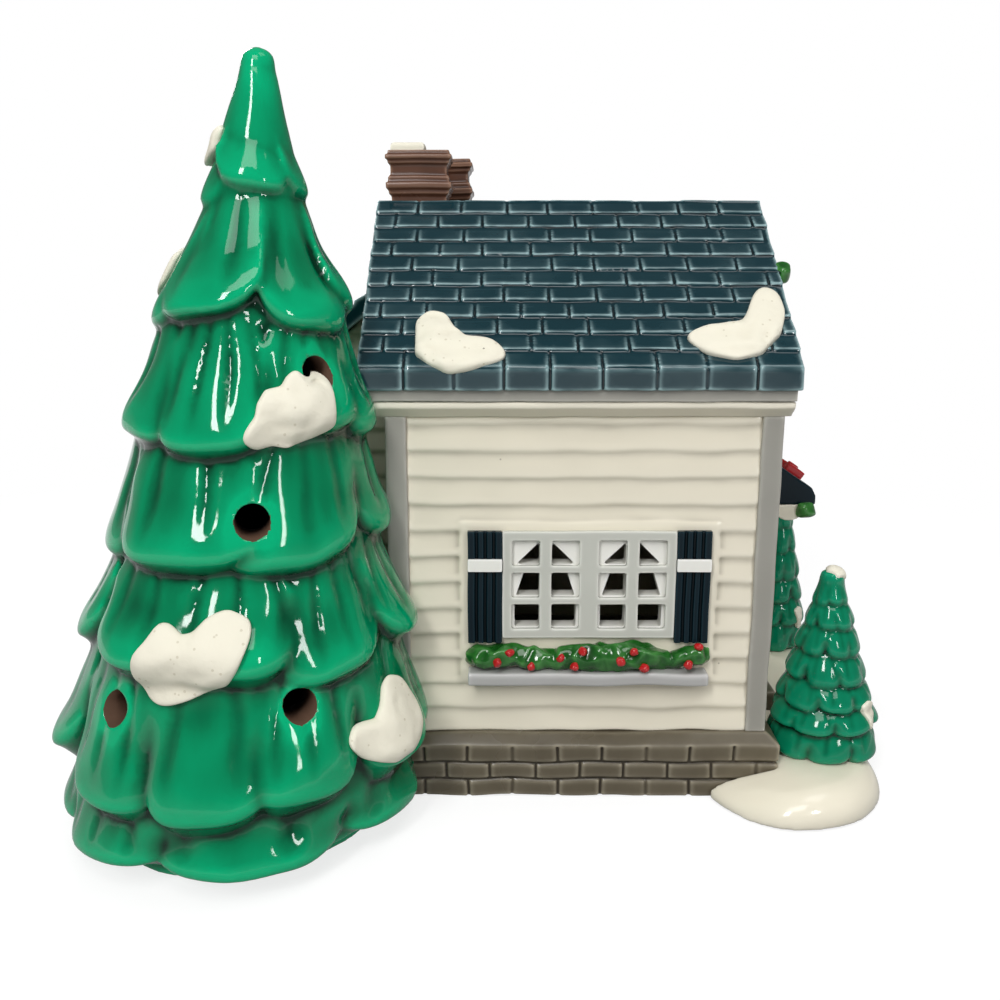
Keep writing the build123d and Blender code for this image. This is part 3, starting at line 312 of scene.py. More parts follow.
# Some cells become pits, darkened towards the hollow colour and sunk in the height.
pit = maths(snow_grit, "LESS_THAN", distance, 0.22)
pit = maths(snow_grit, "MULTIPLY", pit, maths(snow_grit, "GREATER_THAN", lottery[1], 0.8))
pit_darkening = maths(snow_grit, "MULTIPLY", pit, 0.55)
wire(snow_grit, blend(snow_grit, pit_darkening, take.outputs["Color"], take.outputs["Pit"]), give.inputs["Color"])
lumps = maths(snow_grit, "MULTIPLY", drift(snow_grit, 420.0, 3.0), 0.7)
pitted = maths(snow_grit, "SUBTRACT", lumps, maths(snow_grit, "MULTIPLY", pit, 0.35))
wire(snow_grit, pitted, give.inputs["Height"])
print("groups", [group.name for group in bpy.data.node_groups])

# %% [markdown]
# ## The glaze pots
# Every finish is one material: a Principled shader whose colour comes from the glaze groups. Numbers
# that are the same all over a surface, such as the strength of the reflection, are set on the shader
# itself. A finish with grit or specks gets one more group between the depth colour and the shader. One
# function fills every pot, because the glazes differ in their numbers and not in how they are made.

# %% Fill a pot
IRON = (70, 52, 40)  # colour of the kiln specks
RIPPLE_DEPTH = 0.5  # millimetres


def use(tree, group, **values):
    """Place a group in a material and set its inputs."""
    node = tree.nodes.new("ShaderNodeGroup")
    node.node_tree = group
    for label, value in values.items():
        feed(tree, value, node.inputs[label.replace("_", " ")])
    return node.outputs


def new_finish(name):
    """New material with its node tree and its Principled shader."""
    material = bpy.data.materials.new(name)
    material.use_nodes = True
    tree = material.node_tree
    return material, tree, tree.nodes["Principled BSDF"]


def tilt_skin(tree, shader, height, strength, depth):
    """Let a height pattern tilt the surface; depth in millimetres."""
    bump = tree.nodes.new("ShaderNodeBump")
    bump.inputs["Strength"].default_value = strength
    bump.inputs["Distance"].default_value = depth * MM
    wire(tree, height, bump.inputs["Height"])
    wire(tree, bump.outputs["Normal"], shader.inputs["Normal"])


def glaze(name, body, thin, pooled_and_shaded, reach, rough, shine, cloudy, scale, specks=0.0, grit=False, ripple=0.12):
    """One pot of glaze; reach is how fast it pools and how deep the painted shade gets, cloudy and scale set
    how its tone drifts. The thin colour lightens ridges as thin glaze and painted highlight, the pooled one
    darkens hollows as pooled glaze and painted shade.
    """
    material, tree, shader = new_finish(name)
    shader.inputs["Specular IOR Level"].default_value = shine
    tint = use(tree, glaze_depth_and_shade, Body=colour(*body), Thin=colour(*thin), Pooled=colour(*pooled_and_shaded), Reach=reach,
               Drift=cloudy, Drift_scale=scale)["Color"]
    skin = use(tree, glaze_skin, Rough_low=rough[0], Rough_high=rough[1])
    height = skin["Height"]
    if grit:
        gritty = use(tree, snow_grit, Color=tint, Pit=colour(*pooled_and_shaded))
        tint, height = gritty["Color"], gritty["Height"]
    if specks:
        tint = use(tree, kiln_specks, Color=tint, Speck=colour(*IRON), Amount=specks)["Color"]
    tilt_skin(tree, shader, height, ripple, RIPPLE_DEPTH)
    wire(tree, tint, shader.inputs["Base Color"])
    wire(tree, skin["Roughness"], shader.inputs["Roughness"])
    return material

# %% Mix the glazes
# In every pot the second colour lightens ridges and edges as thin glaze and painted highlight, and the third
# darkens hollows, creases and recesses as pooled glaze and painted shade.
pots = {
    # The fir's pooled colour also paints the shade in its folds and under its lips, and its thin colour
    # paints highlights on ridges.
    "fir": glaze("fir_glaze", (0, 122, 79), (0, 168, 114), (0, 44, 27),
                 reach=2.0, rough=(0.03, 0.10), shine=0.36, cloudy=0.6, scale=60.0),
    "bush": glaze("bush_glaze", (0, 112, 78), (14, 150, 112), (0, 38, 25),
                  reach=2.2, rough=(0.04, 0.12), shine=0.36, cloudy=0.3, scale=90.0),
    # The pale thin colour of the navy glaze paints highlight lines on the lips of shingles and slots, with a
    # little thin glaze.
    "navy": glaze("navy_glaze", (13, 48, 56), (140, 168, 171), (4, 19, 24),
                  reach=2.6, rough=(0.06, 0.14), shine=0.5, cloudy=0.2, scale=70.0),
    "shutter": glaze("shutter_glaze", (7, 24, 32), (20, 42, 50), (2, 9, 12),
                     reach=1.3, rough=(0.12, 0.26), shine=0.16, cloudy=0.2, scale=120.0),
    # The cream's pooled colour paints shadow lines under the clapboards and in the trim's recesses.
    "cream": glaze("cream_glaze", (227, 220, 201), (236, 230, 213), (128, 121, 104),
                   reach=3.6, rough=(0.12, 0.3), shine=0.45, cloudy=0.08, scale=40.0, specks=0.4),
    "grey": glaze("grey_glaze", (148, 146, 138), (184, 181, 172), (100, 99, 92),
                  reach=2.0, rough=(0.12, 0.28), shine=0.45, cloudy=0.2, scale=70.0),
    "sash": glaze("sash_glaze", (190, 191, 182), (214, 214, 206), (138, 139, 130),
                  reach=2.0, rough=(0.12, 0.26), shine=0.45, cloudy=0.15, scale=90.0),
    "white": glaze("white_glaze", (232, 231, 224), (243, 242, 238), (180, 178, 168),
                   reach=2.0, rough=(0.12, 0.28), shine=0.45, cloudy=0.08, scale=60.0, specks=0.3),
    # The ledge is white glaze; its grey body is painted shade of its front face.
    "ledge": glaze("ledge_glaze", (168, 167, 165), (196, 195, 194), (116, 115, 112),
                   reach=2.0, rough=(0.12, 0.26), shine=0.45, cloudy=0.1, scale=60.0),
    "stone": glaze("stone_glaze", (92, 84, 68), (146, 138, 120), (42, 36, 26),
                   reach=2.6, rough=(0.18, 0.4), shine=0.4, cloudy=0.5, scale=85.0, specks=0.3),
    "brown": glaze("brown_glaze", (90, 58, 43), (140, 106, 86), (44, 26, 18),
                   reach=2.2, rough=(0.15, 0.35), shine=0.45, cloudy=0.4, scale=110.0, specks=0.6),
    "snow": glaze("snow_glaze", (231, 226, 208), (239, 235, 219), (196, 187, 163),
                  reach=1.4, rough=(0.5, 0.8), shine=0.3, cloudy=0.1, scale=80.0, specks=0.7, grit=True,
                  ripple=0.45),
    "yard": glaze("yard_glaze", (238, 231, 211), (246, 241, 226), (198, 187, 160),
                  reach=1.2, rough=(0.08, 0.2), shine=0.5, cloudy=0.15, scale=40.0, specks=0.5),
    "leaf": glaze("leaf_glaze", (24, 88, 26), (84, 152, 76), (5, 36, 7),
                  reach=1.3, rough=(0.06, 0.18), shine=0.5, cloudy=1.0, scale=240.0),
    "berry": glaze("berry_glaze", (178, 22, 28), (200, 52, 50), (110, 10, 14),
                   reach=0.5, rough=(0.06, 0.18), shine=0.5, cloudy=0.3, scale=400.0),
    # Bare clay inside the hollow tree and its holes, coloured dark brown as painted shade.
    "inside": glaze("shaded_bare_clay", (60, 42, 31), (86, 64, 50), (30, 20, 14),
                    reach=1.5, rough=(0.7, 0.9), shine=0.2, cloudy=0.4, scale=90.0, ripple=0.3),
    "bisque": glaze("bare_clay", (206, 190, 166), (222, 208, 186), (150, 132, 108),
                    reach=1.5, rough=(0.7, 0.9), shine=0.2, cloudy=0.25, scale=90.0, specks=0.8, ripple=0.3),
}
print("glazes", sorted(pots))

# %% [markdown]
# ## The fir tree
# The tree is the showpiece: seven tiers of heavy drooping boughs, each one a tongue that flares out,
# folds into pleats and ends in a thick rolled lip. Sculpting it by hand would not repeat, and a lathe
# would give plain skirts. So one bough is a small grid that is bent into shape and given a thickness;
# the boughs of all tiers stand round a stack of cones, and one casting fuses them like wet clay.

# %% Sizes of the tree
TREE_X, TREE_Y, TREE_LEAN, TREE_TOP = -81.3, -52.0, 0.065, 173.5
# Each tier has the height and radius of its lips, the number of its boughs and the first one's angle
tree_tiers = [(4.0, 43.4, 7, 17.5), (19.5, 44.4, 10, -2.0), (47.5, 39.4, 9, 5.0), (69.5, 33.2, 6, -19.0),
              (94.0, 28.6, 7, -8.0), (118.0, 22.2, 6, -10.0), (143.5, 11.9, 4, 15.0)]
print("tiers", len(tree_tiers), "boughs", sum(count for _, _, count, _ in tree_tiers))

# %% One bough
GRID_ACROSS, GRID_ALONG = 64, 36
BOUGH_WALL = 0.17  # how thick a bough is, as a share of its radius
GROOVE = 0.11  # half the width of a groove, as a share of one fold
SWING_OUT, ROLL_UNDER = 1.3, 0.45  # how far a bough swings past its rim, and its lip rolls back
ROLL_START, ROLL_SPAN = 0.7, 0.3  # the part of a bough that rolls under
SIDE_LIFT = 0.2  # how much higher the sides of a lip hang than its middle, as a share of the drop
FLOOR_GAP = 3.0  # the lowest that the underside of a bough may reach


def smooth_step(t):
    """Ease from 0 to 1."""
    t = min(1.0, max(0.0, t))
    return t * t * (3 - 2 * t)


def bough(clay, axis, angle, half, top, lip, neck, rim, flare, crease, pleats, pleat_depth, dice):
    """Add one drooping bough; axis gives the middle of the trunk at a height, all in millimetres."""
    leaf = bmesh.new()
    bmesh.ops.create_grid(leaf, x_segments=GRID_ACROSS, y_segments=GRID_ALONG, size=1.0)
    shift, sway, tilt = dice.uniform(-0.3, 0.3), dice.uniform(-0.12, 0.12), dice.uniform(-0.1, 0.1)
    pleats, fold_depth = dice.choice(pleats), pleat_depth * dice.uniform(0.6, 1.2)
    for vertex in leaf.verts:
        across, along = vertex.co.x, (1 - vertex.co.y) / 2
        fold = pleats * (across + shift + sway * along) % 1.0
        fade = smooth_step(along / 0.15) * smooth_step((0.9 - along) / 0.4)
        groove = fold_depth * fade * math.exp(-((fold - 0.5) / GROOVE) ** 2)
        valley = 0.15 + 0.85 * smooth_step((along - 0.3) / 0.5)
        under = max(0.0, (along - ROLL_START) / ROLL_SPAN)
        reach = SWING_OUT * ((1 - flare) * along + flare * along ** 1.8)
        reach -= ROLL_UNDER * (1 - math.sqrt(max(0.0, 1 - under ** 2)))
        radius = neck + (rim - neck) * reach - groove
        radius -= crease * rim * abs(across) ** 3 * valley
        turn = angle + half * across * (0.8 + 0.2 * smooth_step(along / 0.5)) + sway * along
        height = top - (top - lip) * (1 - SIDE_LIFT * abs(across) ** 4.5 - tilt * across) * along
        x, y = axis(height)
        vertex.co = Vector((x + radius * math.sin(turn), y - radius * math.cos(turn), height)) * MM
    back = bmesh.ops.extrude_face_region(leaf, geom=leaf.faces[:], use_keep_orig=True)["geom"]
    for vertex in [part for part in back if isinstance(part, bmesh.types.BMVert)]:
        x, y = axis(vertex.co.z / MM)
        along = (top - vertex.co.z / MM) / (top - lip)
        vertex.co.x += BOUGH_WALL * (x * MM - vertex.co.x)
        vertex.co.y += BOUGH_WALL * (y * MM - vertex.co.y)
        vertex.co.z -= min(BOUGH_WALL * rim, lip - FLOOR_GAP) * along ** 2 * MM
    bmesh.ops.recalc_face_normals(leaf, faces=leaf.faces)
    clay.from_mesh(as_mesh(leaf, "bough"))


def trunk_cone(clay, axis, low, high, wide, narrow):
    """Add one cone of the trunk between two heights."""
    x0, y0 = axis(low)
    x1, y1 = axis(high)
    cone = bmesh.ops.create_cone(clay, cap_ends=True, segments=48, radius1=wide * MM, radius2=narrow * MM,
                                 depth=(high - low) * MM)
    lean = Matrix.Shear("XY", 4, ((x1 - x0) / (high - low), (y1 - y0) / (high - low)))
    middle = Matrix.Translation(Vector(((x0 + x1) / 2, (y0 + y1) / 2, (low + high) / 2)) * MM)
    bmesh.ops.transform(clay, matrix=middle @ lean, verts=cone["verts"])

# %% Stack the tiers
TUCK, SPIRE_TUCK = 0.86, 0.78  # neck of a tier, as a share of the rim above it
OVERLAP = 0.1  # how far a tier reaches up under the next one, as a share of their spacing
SPIRE_SWEEP = 0.7  # added flare of the top tier
TRUNK_WIDE, TRUNK_NARROW = 0.86, 0.94  # the trunk's cones inside the rim and the neck
KNOB = 1.15  # the round tip against the neck of the top tier


def evergreen(axis, tiers, tip, tip_radius, foot, droop, seed, flare, crease, pleats, pleat_depth):
    """Tiers of boughs round a trunk; foot is the lowest a lip may hang and droop how far lips sag."""
    dice = random.Random(seed)
    clay = bmesh.new()
    for index, (rim_z, rim, count, first) in enumerate(tiers):
        top, neck, sweep = tip - 0.4 * tip_radius, tip_radius, max(flare, 0.0) + SPIRE_SWEEP
        if index + 1 < len(tiers):
            above_z, above_rim = tiers[index + 1][:2]
            top = above_z + OVERLAP * (above_z - rim_z)
            neck = (SPIRE_TUCK if index + 2 == len(tiers) else TUCK) * above_rim
            sweep = flare + dice.uniform(-0.1, 0.1)
        for k in range(count):
            turn = math.radians(first + 360 / count * (k + dice.uniform(-0.07, 0.07)))
            lip = max(foot, rim_z + droop * dice.uniform(-0.6, 0.4))
            bough(clay, axis, turn, dice.uniform(1.08, 1.26) * math.pi / count, top, lip, neck,
                  rim * dice.uniform(0.95, 1.0), sweep, crease, pleats, pleat_depth, dice)
        trunk_cone(clay, axis, max(foot, rim_z), top, TRUNK_WIDE * rim, TRUNK_NARROW * neck)
    knob = Matrix.Translation(Vector((*axis(tip), tip - KNOB * tip_radius)) * MM)
    bmesh.ops.create_icosphere(clay, subdivisions=3, radius=KNOB * tip_radius * MM, matrix=knob)
    return clay

# %% Raise the fir
def tree_axis(z):
    """Middle of the leaning trunk at a height."""
    return TREE_X + TREE_LEAN * z, TREE_Y


fir_clay = evergreen(tree_axis, tree_tiers, tip=TREE_TOP - 0.4, tip_radius=3.1, foot=6.0, droop=5.5, seed=5,
                     flare=0.6, crease=0.13, pleats=(1.0, 1.5, 2.0), pleat_depth=0.8)
trunk_cone(fir_clay, tree_axis, low=0.8, high=12.0, wide=33.0, narrow=32.0)
fir_skin = cast(fir_clay, "fir_tree", 0.62, 10, 180000)
uneven(fir_skin, 0.6, 11.0, 3)
print("fir skin", len(fir_skin.vertices))

# %% [markdown]
# The tree is a lantern: it is hollow, and round holes let the light out. Dark discs painted on it would
# look right from afar, but no light could pass them. So the hollow and the holes are cut with booleans,
# which need closed shapes: the hollow is one profile spun about the trunk and each hole is a plain rod.
# Faces left bare by the cut are unglazed clay, coloured dark brown as painted shade of the hollow.

# %% Shape the hollow and the light holes
# Each hole has its angle round the trunk and its height
light_holes = [(13.5, 78.5), (29.5, 40.3), (-34, 39.2), (47.5, 107),
               (-110, 77), (-150, 44), (-95, 106), (175, 104)]
HOLE = 3.6
HOLLOW_FOOT, HOLLOW_SHARE, HOLLOW_WALL, HOLLOW_LEAST = 26.0, 0.8, 5.0, 2.0
ROD = 90.0  # length of a boring rod, longer than the tree is wide


def outward(angle):
    """Direction away from the trunk; 0 faces the photographed side, positive turns to the front."""
    return Vector((math.sin(math.radians(angle)), -math.cos(math.radians(angle)), 0))


def hollow_profile():
    """Heights and radii of the hollow inside the tree."""
    upper = [(z, max(HOLLOW_LEAST, rim * HOLLOW_SHARE - HOLLOW_WALL)) for z, rim, _, _ in tree_tiers[1:]]
    return [(4.0, HOLLOW_FOOT), (8.0, HOLLOW_FOOT)] + upper


def hollow_shape():
    """Lathe the hollow about the trunk and lean it with the tree."""
    clay = bmesh.new()
    points = [(hollow_profile()[0][0], 0.0)] + hollow_profile() + [(hollow_profile()[-1][0], 0.0)]
    corners = [clay.verts.new((r * MM, 0, z * MM)) for z, r in points]
    edges = [clay.edges.new(pair) for pair in zip(corners, corners[1:])]
    bmesh.ops.spin(clay, geom=corners + edges, cent=(0, 0, 0), axis=(0, 0, 1), angle=2 * math.pi, steps=48,
                   use_merge=True)
    bmesh.ops.remove_doubles(clay, verts=clay.verts, dist=1e-6)
    bmesh.ops.recalc_face_normals(clay, faces=clay.faces)
    lean = Matrix.Shear("XY", 4, (TREE_LEAN, 0.0))
    stand = Matrix.Translation((TREE_X * MM, TREE_Y * MM, 0))
    bmesh.ops.transform(clay, matrix=stand @ lean, verts=clay.verts)
    return as_mesh(clay, "hollow")


def hole_shape(angle, z):
    """Rod from the trunk outwards."""
    clay = bmesh.new()
    x, y = tree_axis(z)
    way = outward(angle)
    rod = bmesh.ops.create_cone(clay, cap_ends=True, segments=40, radius1=HOLE * MM, radius2=HOLE * MM,
                                depth=ROD * MM)
    aim = way.to_track_quat("Z", "Y").to_matrix().to_4x4()
    aim = Matrix.Translation(Vector((x, y, z)) * MM + way * (ROD / 2) * MM) @ aim
    bmesh.ops.transform(clay, matrix=aim, verts=rod["verts"])
    return as_mesh(clay, "hole")

# %% Hollow the tree and bore its light holes
cutters = []
for shape in [hollow_shape()] + [hole_shape(*hole) for hole in light_holes]:
    cutter = bpy.data.objects.new("cutter", shape)
    bpy.context.scene.collection.objects.link(cutter)
    cutters.append(cutter)


def carve(modifiers):
    """Cut every shape in turn."""
    for cutter in cutters:
        cut = modifiers.new("cut", "BOOLEAN")
        cut.operation = "DIFFERENCE"
        cut.solver = "MANIFOLD"
        cut.object = cutter


fir_mesh = settled(fir_skin, carve)
for cutter in cutters:
    bpy.data.objects.remove(cutter)
print("fir carved", len(fir_mesh.vertices))

# %% Mark the bare clay inside, which is coloured dark as painted shade
profile = hollow_profile()
inner_z = [z for z, _ in profile]
inner_r = [r for _, r in profile]


def bare(point):
    """True for a point on the hollow or on the wall of a light hole."""
    x, y, z = point / MM
    ax, ay = tree_axis(z)
    if math.hypot(x - ax, y - ay) < np.interp(z, inner_z, inner_r) + 0.4 and 3.5 < z < inner_z[-1] + 0.5:
        return True
    for angle, level in light_holes:
        ax, ay = tree_axis(level)
        away = Vector((x - ax, y - ay, z - level))
        along = away.dot(outward(angle))
        if along > 0 and (away - outward(angle) * along).length < HOLE + 0.05:
            return True
    return False


for polygon in fir_mesh.polygons:
    polygon.material_index = 1 if bare(polygon.center) else 0
# The fir's broad folds get painted shade and its bulges painted highlight.
place_piece("fir_tree", fir_mesh, ["tree_shell"], [pots["fir"], pots["inside"]], 6, 45)

# %% [markdown]
# ## Snow
# The snow is a thick gritty glaze dabbed on with a brush, so each patch follows the surface under it
# and has a soft raised edge. A flat cut-out would float over the pleats. Here a ball is squashed into
# the outline of the patch and every point is dropped on the surface below by a ray; the lower half
# sinks in slightly and the upper half stands proud. A loaded brush doesn't reach into narrow folds, so
# each point also asks the ground around it and settles on the higher part.

# %% Edge of a dab
def edge_reach(outline, turn):
    """Distance from the middle of an outline to its edge in one direction."""
    way = Vector((math.cos(turn), math.sin(turn)))
    best = 0.1
    for (ax, ay), (bx, by) in zip(outline, outline[1:] + outline[:1]):
        ex, ey = bx - ax, by - ay
        cross = way.x * ey - way.y * ex
        if abs(cross) > 1e-9:
            far = (ax * ey - ay * ex) / cross
            part = (ax * way.y - ay * way.x) / cross
            if far > 0 and -1e-6 <= part <= 1 + 1e-6:
                best = max(best, far)
    return best


def rounded_reach(outline):
    """Softened edge distances for a full turn, one per two degrees."""
    raw = np.array([edge_reach(outline, math.radians(2 * k)) for k in range(180)])
    for _ in range(4):
        raw = (np.roll(raw, 1) + 2 * raw + np.roll(raw, -1)) / 4
    return raw

# %% Dab snow on a surface
RAY_START = 40.0  # rays start this far above the plane of a dab
RAY_MISS = 60.0  # depth that is taken where no ray meets the surface
NINE_RAYS = ((0, 0), (1, 0), (-1, 0), (0, 1), (0, -1), (0.7, 0.7), (-0.7, 0.7), (0.7, -0.7), (-0.7, -0.7))
HIGH_RAYS = 4  # how many of the nine rays, the shortest ones, give the ground
SNOW_ROOT = 2.4  # how deep the lower half of a dab goes in
SNOW_PASSES = 3


def surface_of(mesh):
    """Search tree of a mesh, for rays."""
    return BVHTree.FromPolygons([v.co for v in mesh.vertices], [p.vertices for p in mesh.polygons])


def bridged(surface, spot, across, up, away, span):
    """Place on a surface below a spot, raised to the higher ground within a span around it."""
    depths = []
    for a, b in NINE_RAYS:
        start = spot + (across * a + up * b) * span + away * RAY_START * MM
        distance = surface.ray_cast(start, -away)[3]
        if distance is not None:
            depths.append(distance)
    nearest = sorted(depths)[:HIGH_RAYS] or [RAY_MISS * MM]
    return spot + away * (RAY_START * MM - sum(nearest) / len(nearest))


def dab_of_snow(surface, middle, across, up, outline, thick, seed, detail, span):
    """Snow patch on a surface; the outline is drawn on the plane of across and up, in millimetres."""
    away = across.cross(up).normalized()
    reach = rounded_reach(outline)
    dab = bmesh.new()
    bmesh.ops.create_icosphere(dab, subdivisions=detail, radius=1.0)
    bounce = Vector((seed, 2 * seed, 3 * seed))
    for vertex in dab.verts:
        flat = math.hypot(vertex.co.x, vertex.co.y)
        turn = math.degrees(math.atan2(vertex.co.y, vertex.co.x)) % 360 / 2
        far = np.interp(turn, range(181), np.append(reach, reach[0])) * flat ** 0.8
        ways = (across * vertex.co.x + up * vertex.co.y) / max(flat, 1e-6)
        hit = bridged(surface, middle + ways * far * MM, across, up, away, span * MM)
        lump = 1 + 0.4 * noise.noise(hit / (3.0 * MM) + bounce)
        lift = thick * lump * vertex.co.z ** 0.55 if vertex.co.z > 0 else SNOW_ROOT * vertex.co.z
        vertex.co = hit + away * lift * MM
    for _ in range(SNOW_PASSES):
        bmesh.ops.smooth_vert(dab, verts=dab.verts, factor=0.5, use_axis_x=True, use_axis_y=True,
                              use_axis_z=True)
    bmesh.ops.recalc_face_normals(dab, faces=dab.faces)
    return dab

# %% Snow on the boughs
heart = [(-12.4, -1.2), (-11.8, -4.3), (-9.4, -7.9), (-6.3, -8.8), (-1.5, -7.6), (3.4, -5.5), (7.7, -3.7),
         (10.1, 0.0), (12.2, 4.9), (11.7, 7.3), (8.9, 8.3), (6.8, 9.4), (2.8, 8.3), (0.7, 6.1), (-2.1, 5.5),
         (-4.5, 7.3), (-7.0, 7.3), (-8.8, 4.9), (-11.5, 2.4)]
wedge = [(-9.3, -4.9), (-6.5, -7.3), (-4.0, -6.1), (-1.0, -7.0), (3.9, -5.2), (8.5, -3.3), (8.8, 5.5),
         (7.0, 6.1), (3.9, 6.1), (2.1, 7.9), (0.2, 6.7), (-1.0, 4.9), (-4.0, 4.3), (-5.9, 1.8), (-6.5, -0.6),
         (-8.3, -2.4)]
drop = [(2.4, 8.3), (4.9, 6.7), (6.1, 1.8), (5.5, -2.4), (3.0, -5.5), (-1.2, -7.0), (-4.9, -5.5),
        (-7.2, -1.2), (-4.9, 1.5), (-2.4, 1.8), (-0.9, 4.3), (0.6, 7.3)]
# Each dab has its angle round the trunk, its height, its outline and how wide that is stretched
tree_snow = [(30, 98.6, wedge, 1.12), (-5.5, 52.7, heart, 1.0), (60.5, 33.5, drop, 1.7),
             (-90, 148, wedge, 0.5), (-93, 124, wedge, 0.65), (-97, 34, drop, 0.95), (-160, 76, wedge, 0.9)]
TREE_SNOW_THICK, TREE_SNOW_SPAN = 1.5, 2.5
DAB_OUT, DAB_LEAN = 30.0, 0.25  # how far from the trunk a dab starts, and how its plane leans outwards
FINE_DABS = 3  # the first dabs, on the photographed side, get a finer mesh
fir_surface = surface_of(fir_mesh)
snow_clay = bmesh.new()
for seed, (angle, z, outline, stretch) in enumerate(tree_snow):
    away = outward(angle)
    up = (Vector((0, 0, 1)) + away * DAB_LEAN).normalized()
    across = up.cross(away).normalized()
    wide = [(a * stretch, b * min(1.0, stretch)) for a, b in outline]
    x, y = tree_axis(z)
    middle = Vector((x, y, z)) * MM + away * DAB_OUT * MM
    detail = 5 if seed < FINE_DABS else 4
    dab = dab_of_snow(fir_surface, middle, across, up, wide, TREE_SNOW_THICK, seed + 1, detail,
                      TREE_SNOW_SPAN)
    snow_clay.from_mesh(as_mesh(dab, "dab"))
place_piece("tree_snow", as_mesh(snow_clay, "tree_snow"), ["tree_snow_patches"], [pots["snow"]],
            2)

# %% [markdown]
# ## The shingled roof
# Each slope carries eleven courses of shingles, staggered like brickwork and never quite equal. The
# lower end of a shingle stands proud of the course below, and thin slots part the neighbours. A bump
# pattern could draw the courses, but its slots would have no lips. So every shingle is a tilted block
# laid on a plain gable slab, and the lowest course turns down over the edge of the slab. The cast then
# fuses them, and the slots get the rounded lips that catch the light in bright lines. The pale colour
# of the navy glaze paints more highlight lines on those lips.

# %% Shape the bare roof
PITCH = math.radians(38.5)
EAVE, RUN, SLAB = 101.2, 49.5, 4.0
ROOF_REAR, ROOF_FRONT = -52.0, 49.0


def slope_frame(side):
    """Axes of one slope with its corner at the lower edge; side -1 is the photographed slope."""
    along = Vector((-side, 0, 0))
    up = Vector((0, -side * math.cos(PITCH), math.sin(PITCH)))
    corner = Vector((0, side * RUN, EAVE)) * MM
    return Matrix.Translation(corner) @ Matrix((along, up, along.cross(up))).transposed().to_4x4()


def gable_slab():
    """Plain roof: a bent strip drawn out along the ridge."""
    rise, lift = RUN * math.tan(PITCH), SLAB / math.cos(PITCH)
    outline = [(-RUN, EAVE), (-RUN, EAVE + lift), (0, EAVE + lift + rise),
               (RUN, EAVE + lift), (RUN, EAVE), (0, EAVE + rise)]
    clay = bmesh.new()
    face = clay.faces.new([clay.verts.new((ROOF_REAR * MM, y * MM, z * MM)) for y, z in outline])
    swept = bmesh.ops.extrude_face_region(clay, geom=[face], use_keep_orig=True)
    moved = [part for part in swept["geom"] if isinstance(part, bmesh.types.BMVert)]
    bmesh.ops.translate(clay, vec=((ROOF_FRONT - ROOF_REAR) * MM, 0, 0), verts=moved)
    bmesh.ops.recalc_face_normals(clay, faces=clay.faces)
    return clay

# %% Lay the shingles
COURSES = 11
STAGGER = (0.6, 6.2)  # where even and odd courses start
SHINGLE_LEAST, SHINGLE_MOST = 10.3, 12.2  # widths, with the slots
SLOT = 0.43  # half of the slot between neighbours
STUB = 1.5  # a shingle cut narrower than this is left out
SHINGLE_THICK, SHINGLE_SEAT, SHINGLE_LAP = 2.2, 0.72, 0.5
SHINGLE_TILT = 6.8  # degrees
TURN_DOWN_THICK, TURN_DOWN_GAP = 1.4, 0.3


def lay_course(clay, slope, index, dice, low, high):
    """One course of shingles between two ends of the slope."""
    pitch_s = RUN / math.cos(PITCH) / COURSES
    start = SLAB * math.tan(PITCH) + index * pitch_s
    x = low - STAGGER[index % 2] + dice.uniform(-0.8, 0.8)
    while x < high:
        width = dice.uniform(SHINGLE_LEAST, SHINGLE_MOST)
        left, right = max(x + SLOT, low), min(x + width - SLOT, high)
        x += width
        if right - left < STUB:
            continue
        middle, wide = (left + right) / 2, (right - left) * MM
        centre = Vector((middle, start + pitch_s / 2 + dice.uniform(-0.12, 0.12), SLAB - SHINGLE_SEAT)) * MM
        tilt = Matrix.Rotation(-math.radians(SHINGLE_TILT + dice.uniform(-0.8, 0.8)), 4, "X")
        size = Matrix.Diagonal((wide, (pitch_s + SHINGLE_LAP) * MM, SHINGLE_THICK * MM, 1))
        bmesh.ops.create_cube(clay, size=1.0, matrix=slope @ Matrix.Translation(centre) @ tilt @ size)
        if index == 0:
            edge = Vector((middle, SLAB * math.tan(PITCH) / 2, SLAB / 2)) * MM
            upright = Matrix.Rotation(math.pi / 2 - PITCH, 4, "X")
            deep = (SLAB / math.cos(PITCH) - TURN_DOWN_GAP) * MM
            size = Matrix.Diagonal((wide, deep, TURN_DOWN_THICK * MM, 1))
            bmesh.ops.create_cube(clay, size=1.0, matrix=slope @ Matrix.Translation(edge) @ upright @ size)


roof_clay = gable_slab()
dice = random.Random(11)
for side in (-1, 1):
    ends = (ROOF_REAR, ROOF_FRONT) if side < 0 else (-ROOF_FRONT, -ROOF_REAR)
    for course in range(COURSES):
        lay_course(roof_clay, slope_frame(side), course, dice, *ends)
roof_mesh = cast(roof_clay, "main_roof", 0.36, 3, 190000)
uneven(roof_mesh, 0.15, 9.0, 8)
place_piece("main_roof_shingles", roof_mesh, ["main_roof"], [pots["navy"]], 2)
wing_mesh = cast(merged_copy("wing_roof"), "wing_roof", 0.36, 3, 90000)
place_piece("wing_roof_shingles", wing_mesh, ["wing_roof"], [pots["navy"]], 2)

# %% Snow on the roof
ROOF_SNOW_THICK, ROOF_SNOW_SPAN = 1.9, 1.0
roof_surface = surface_of(roof_mesh)
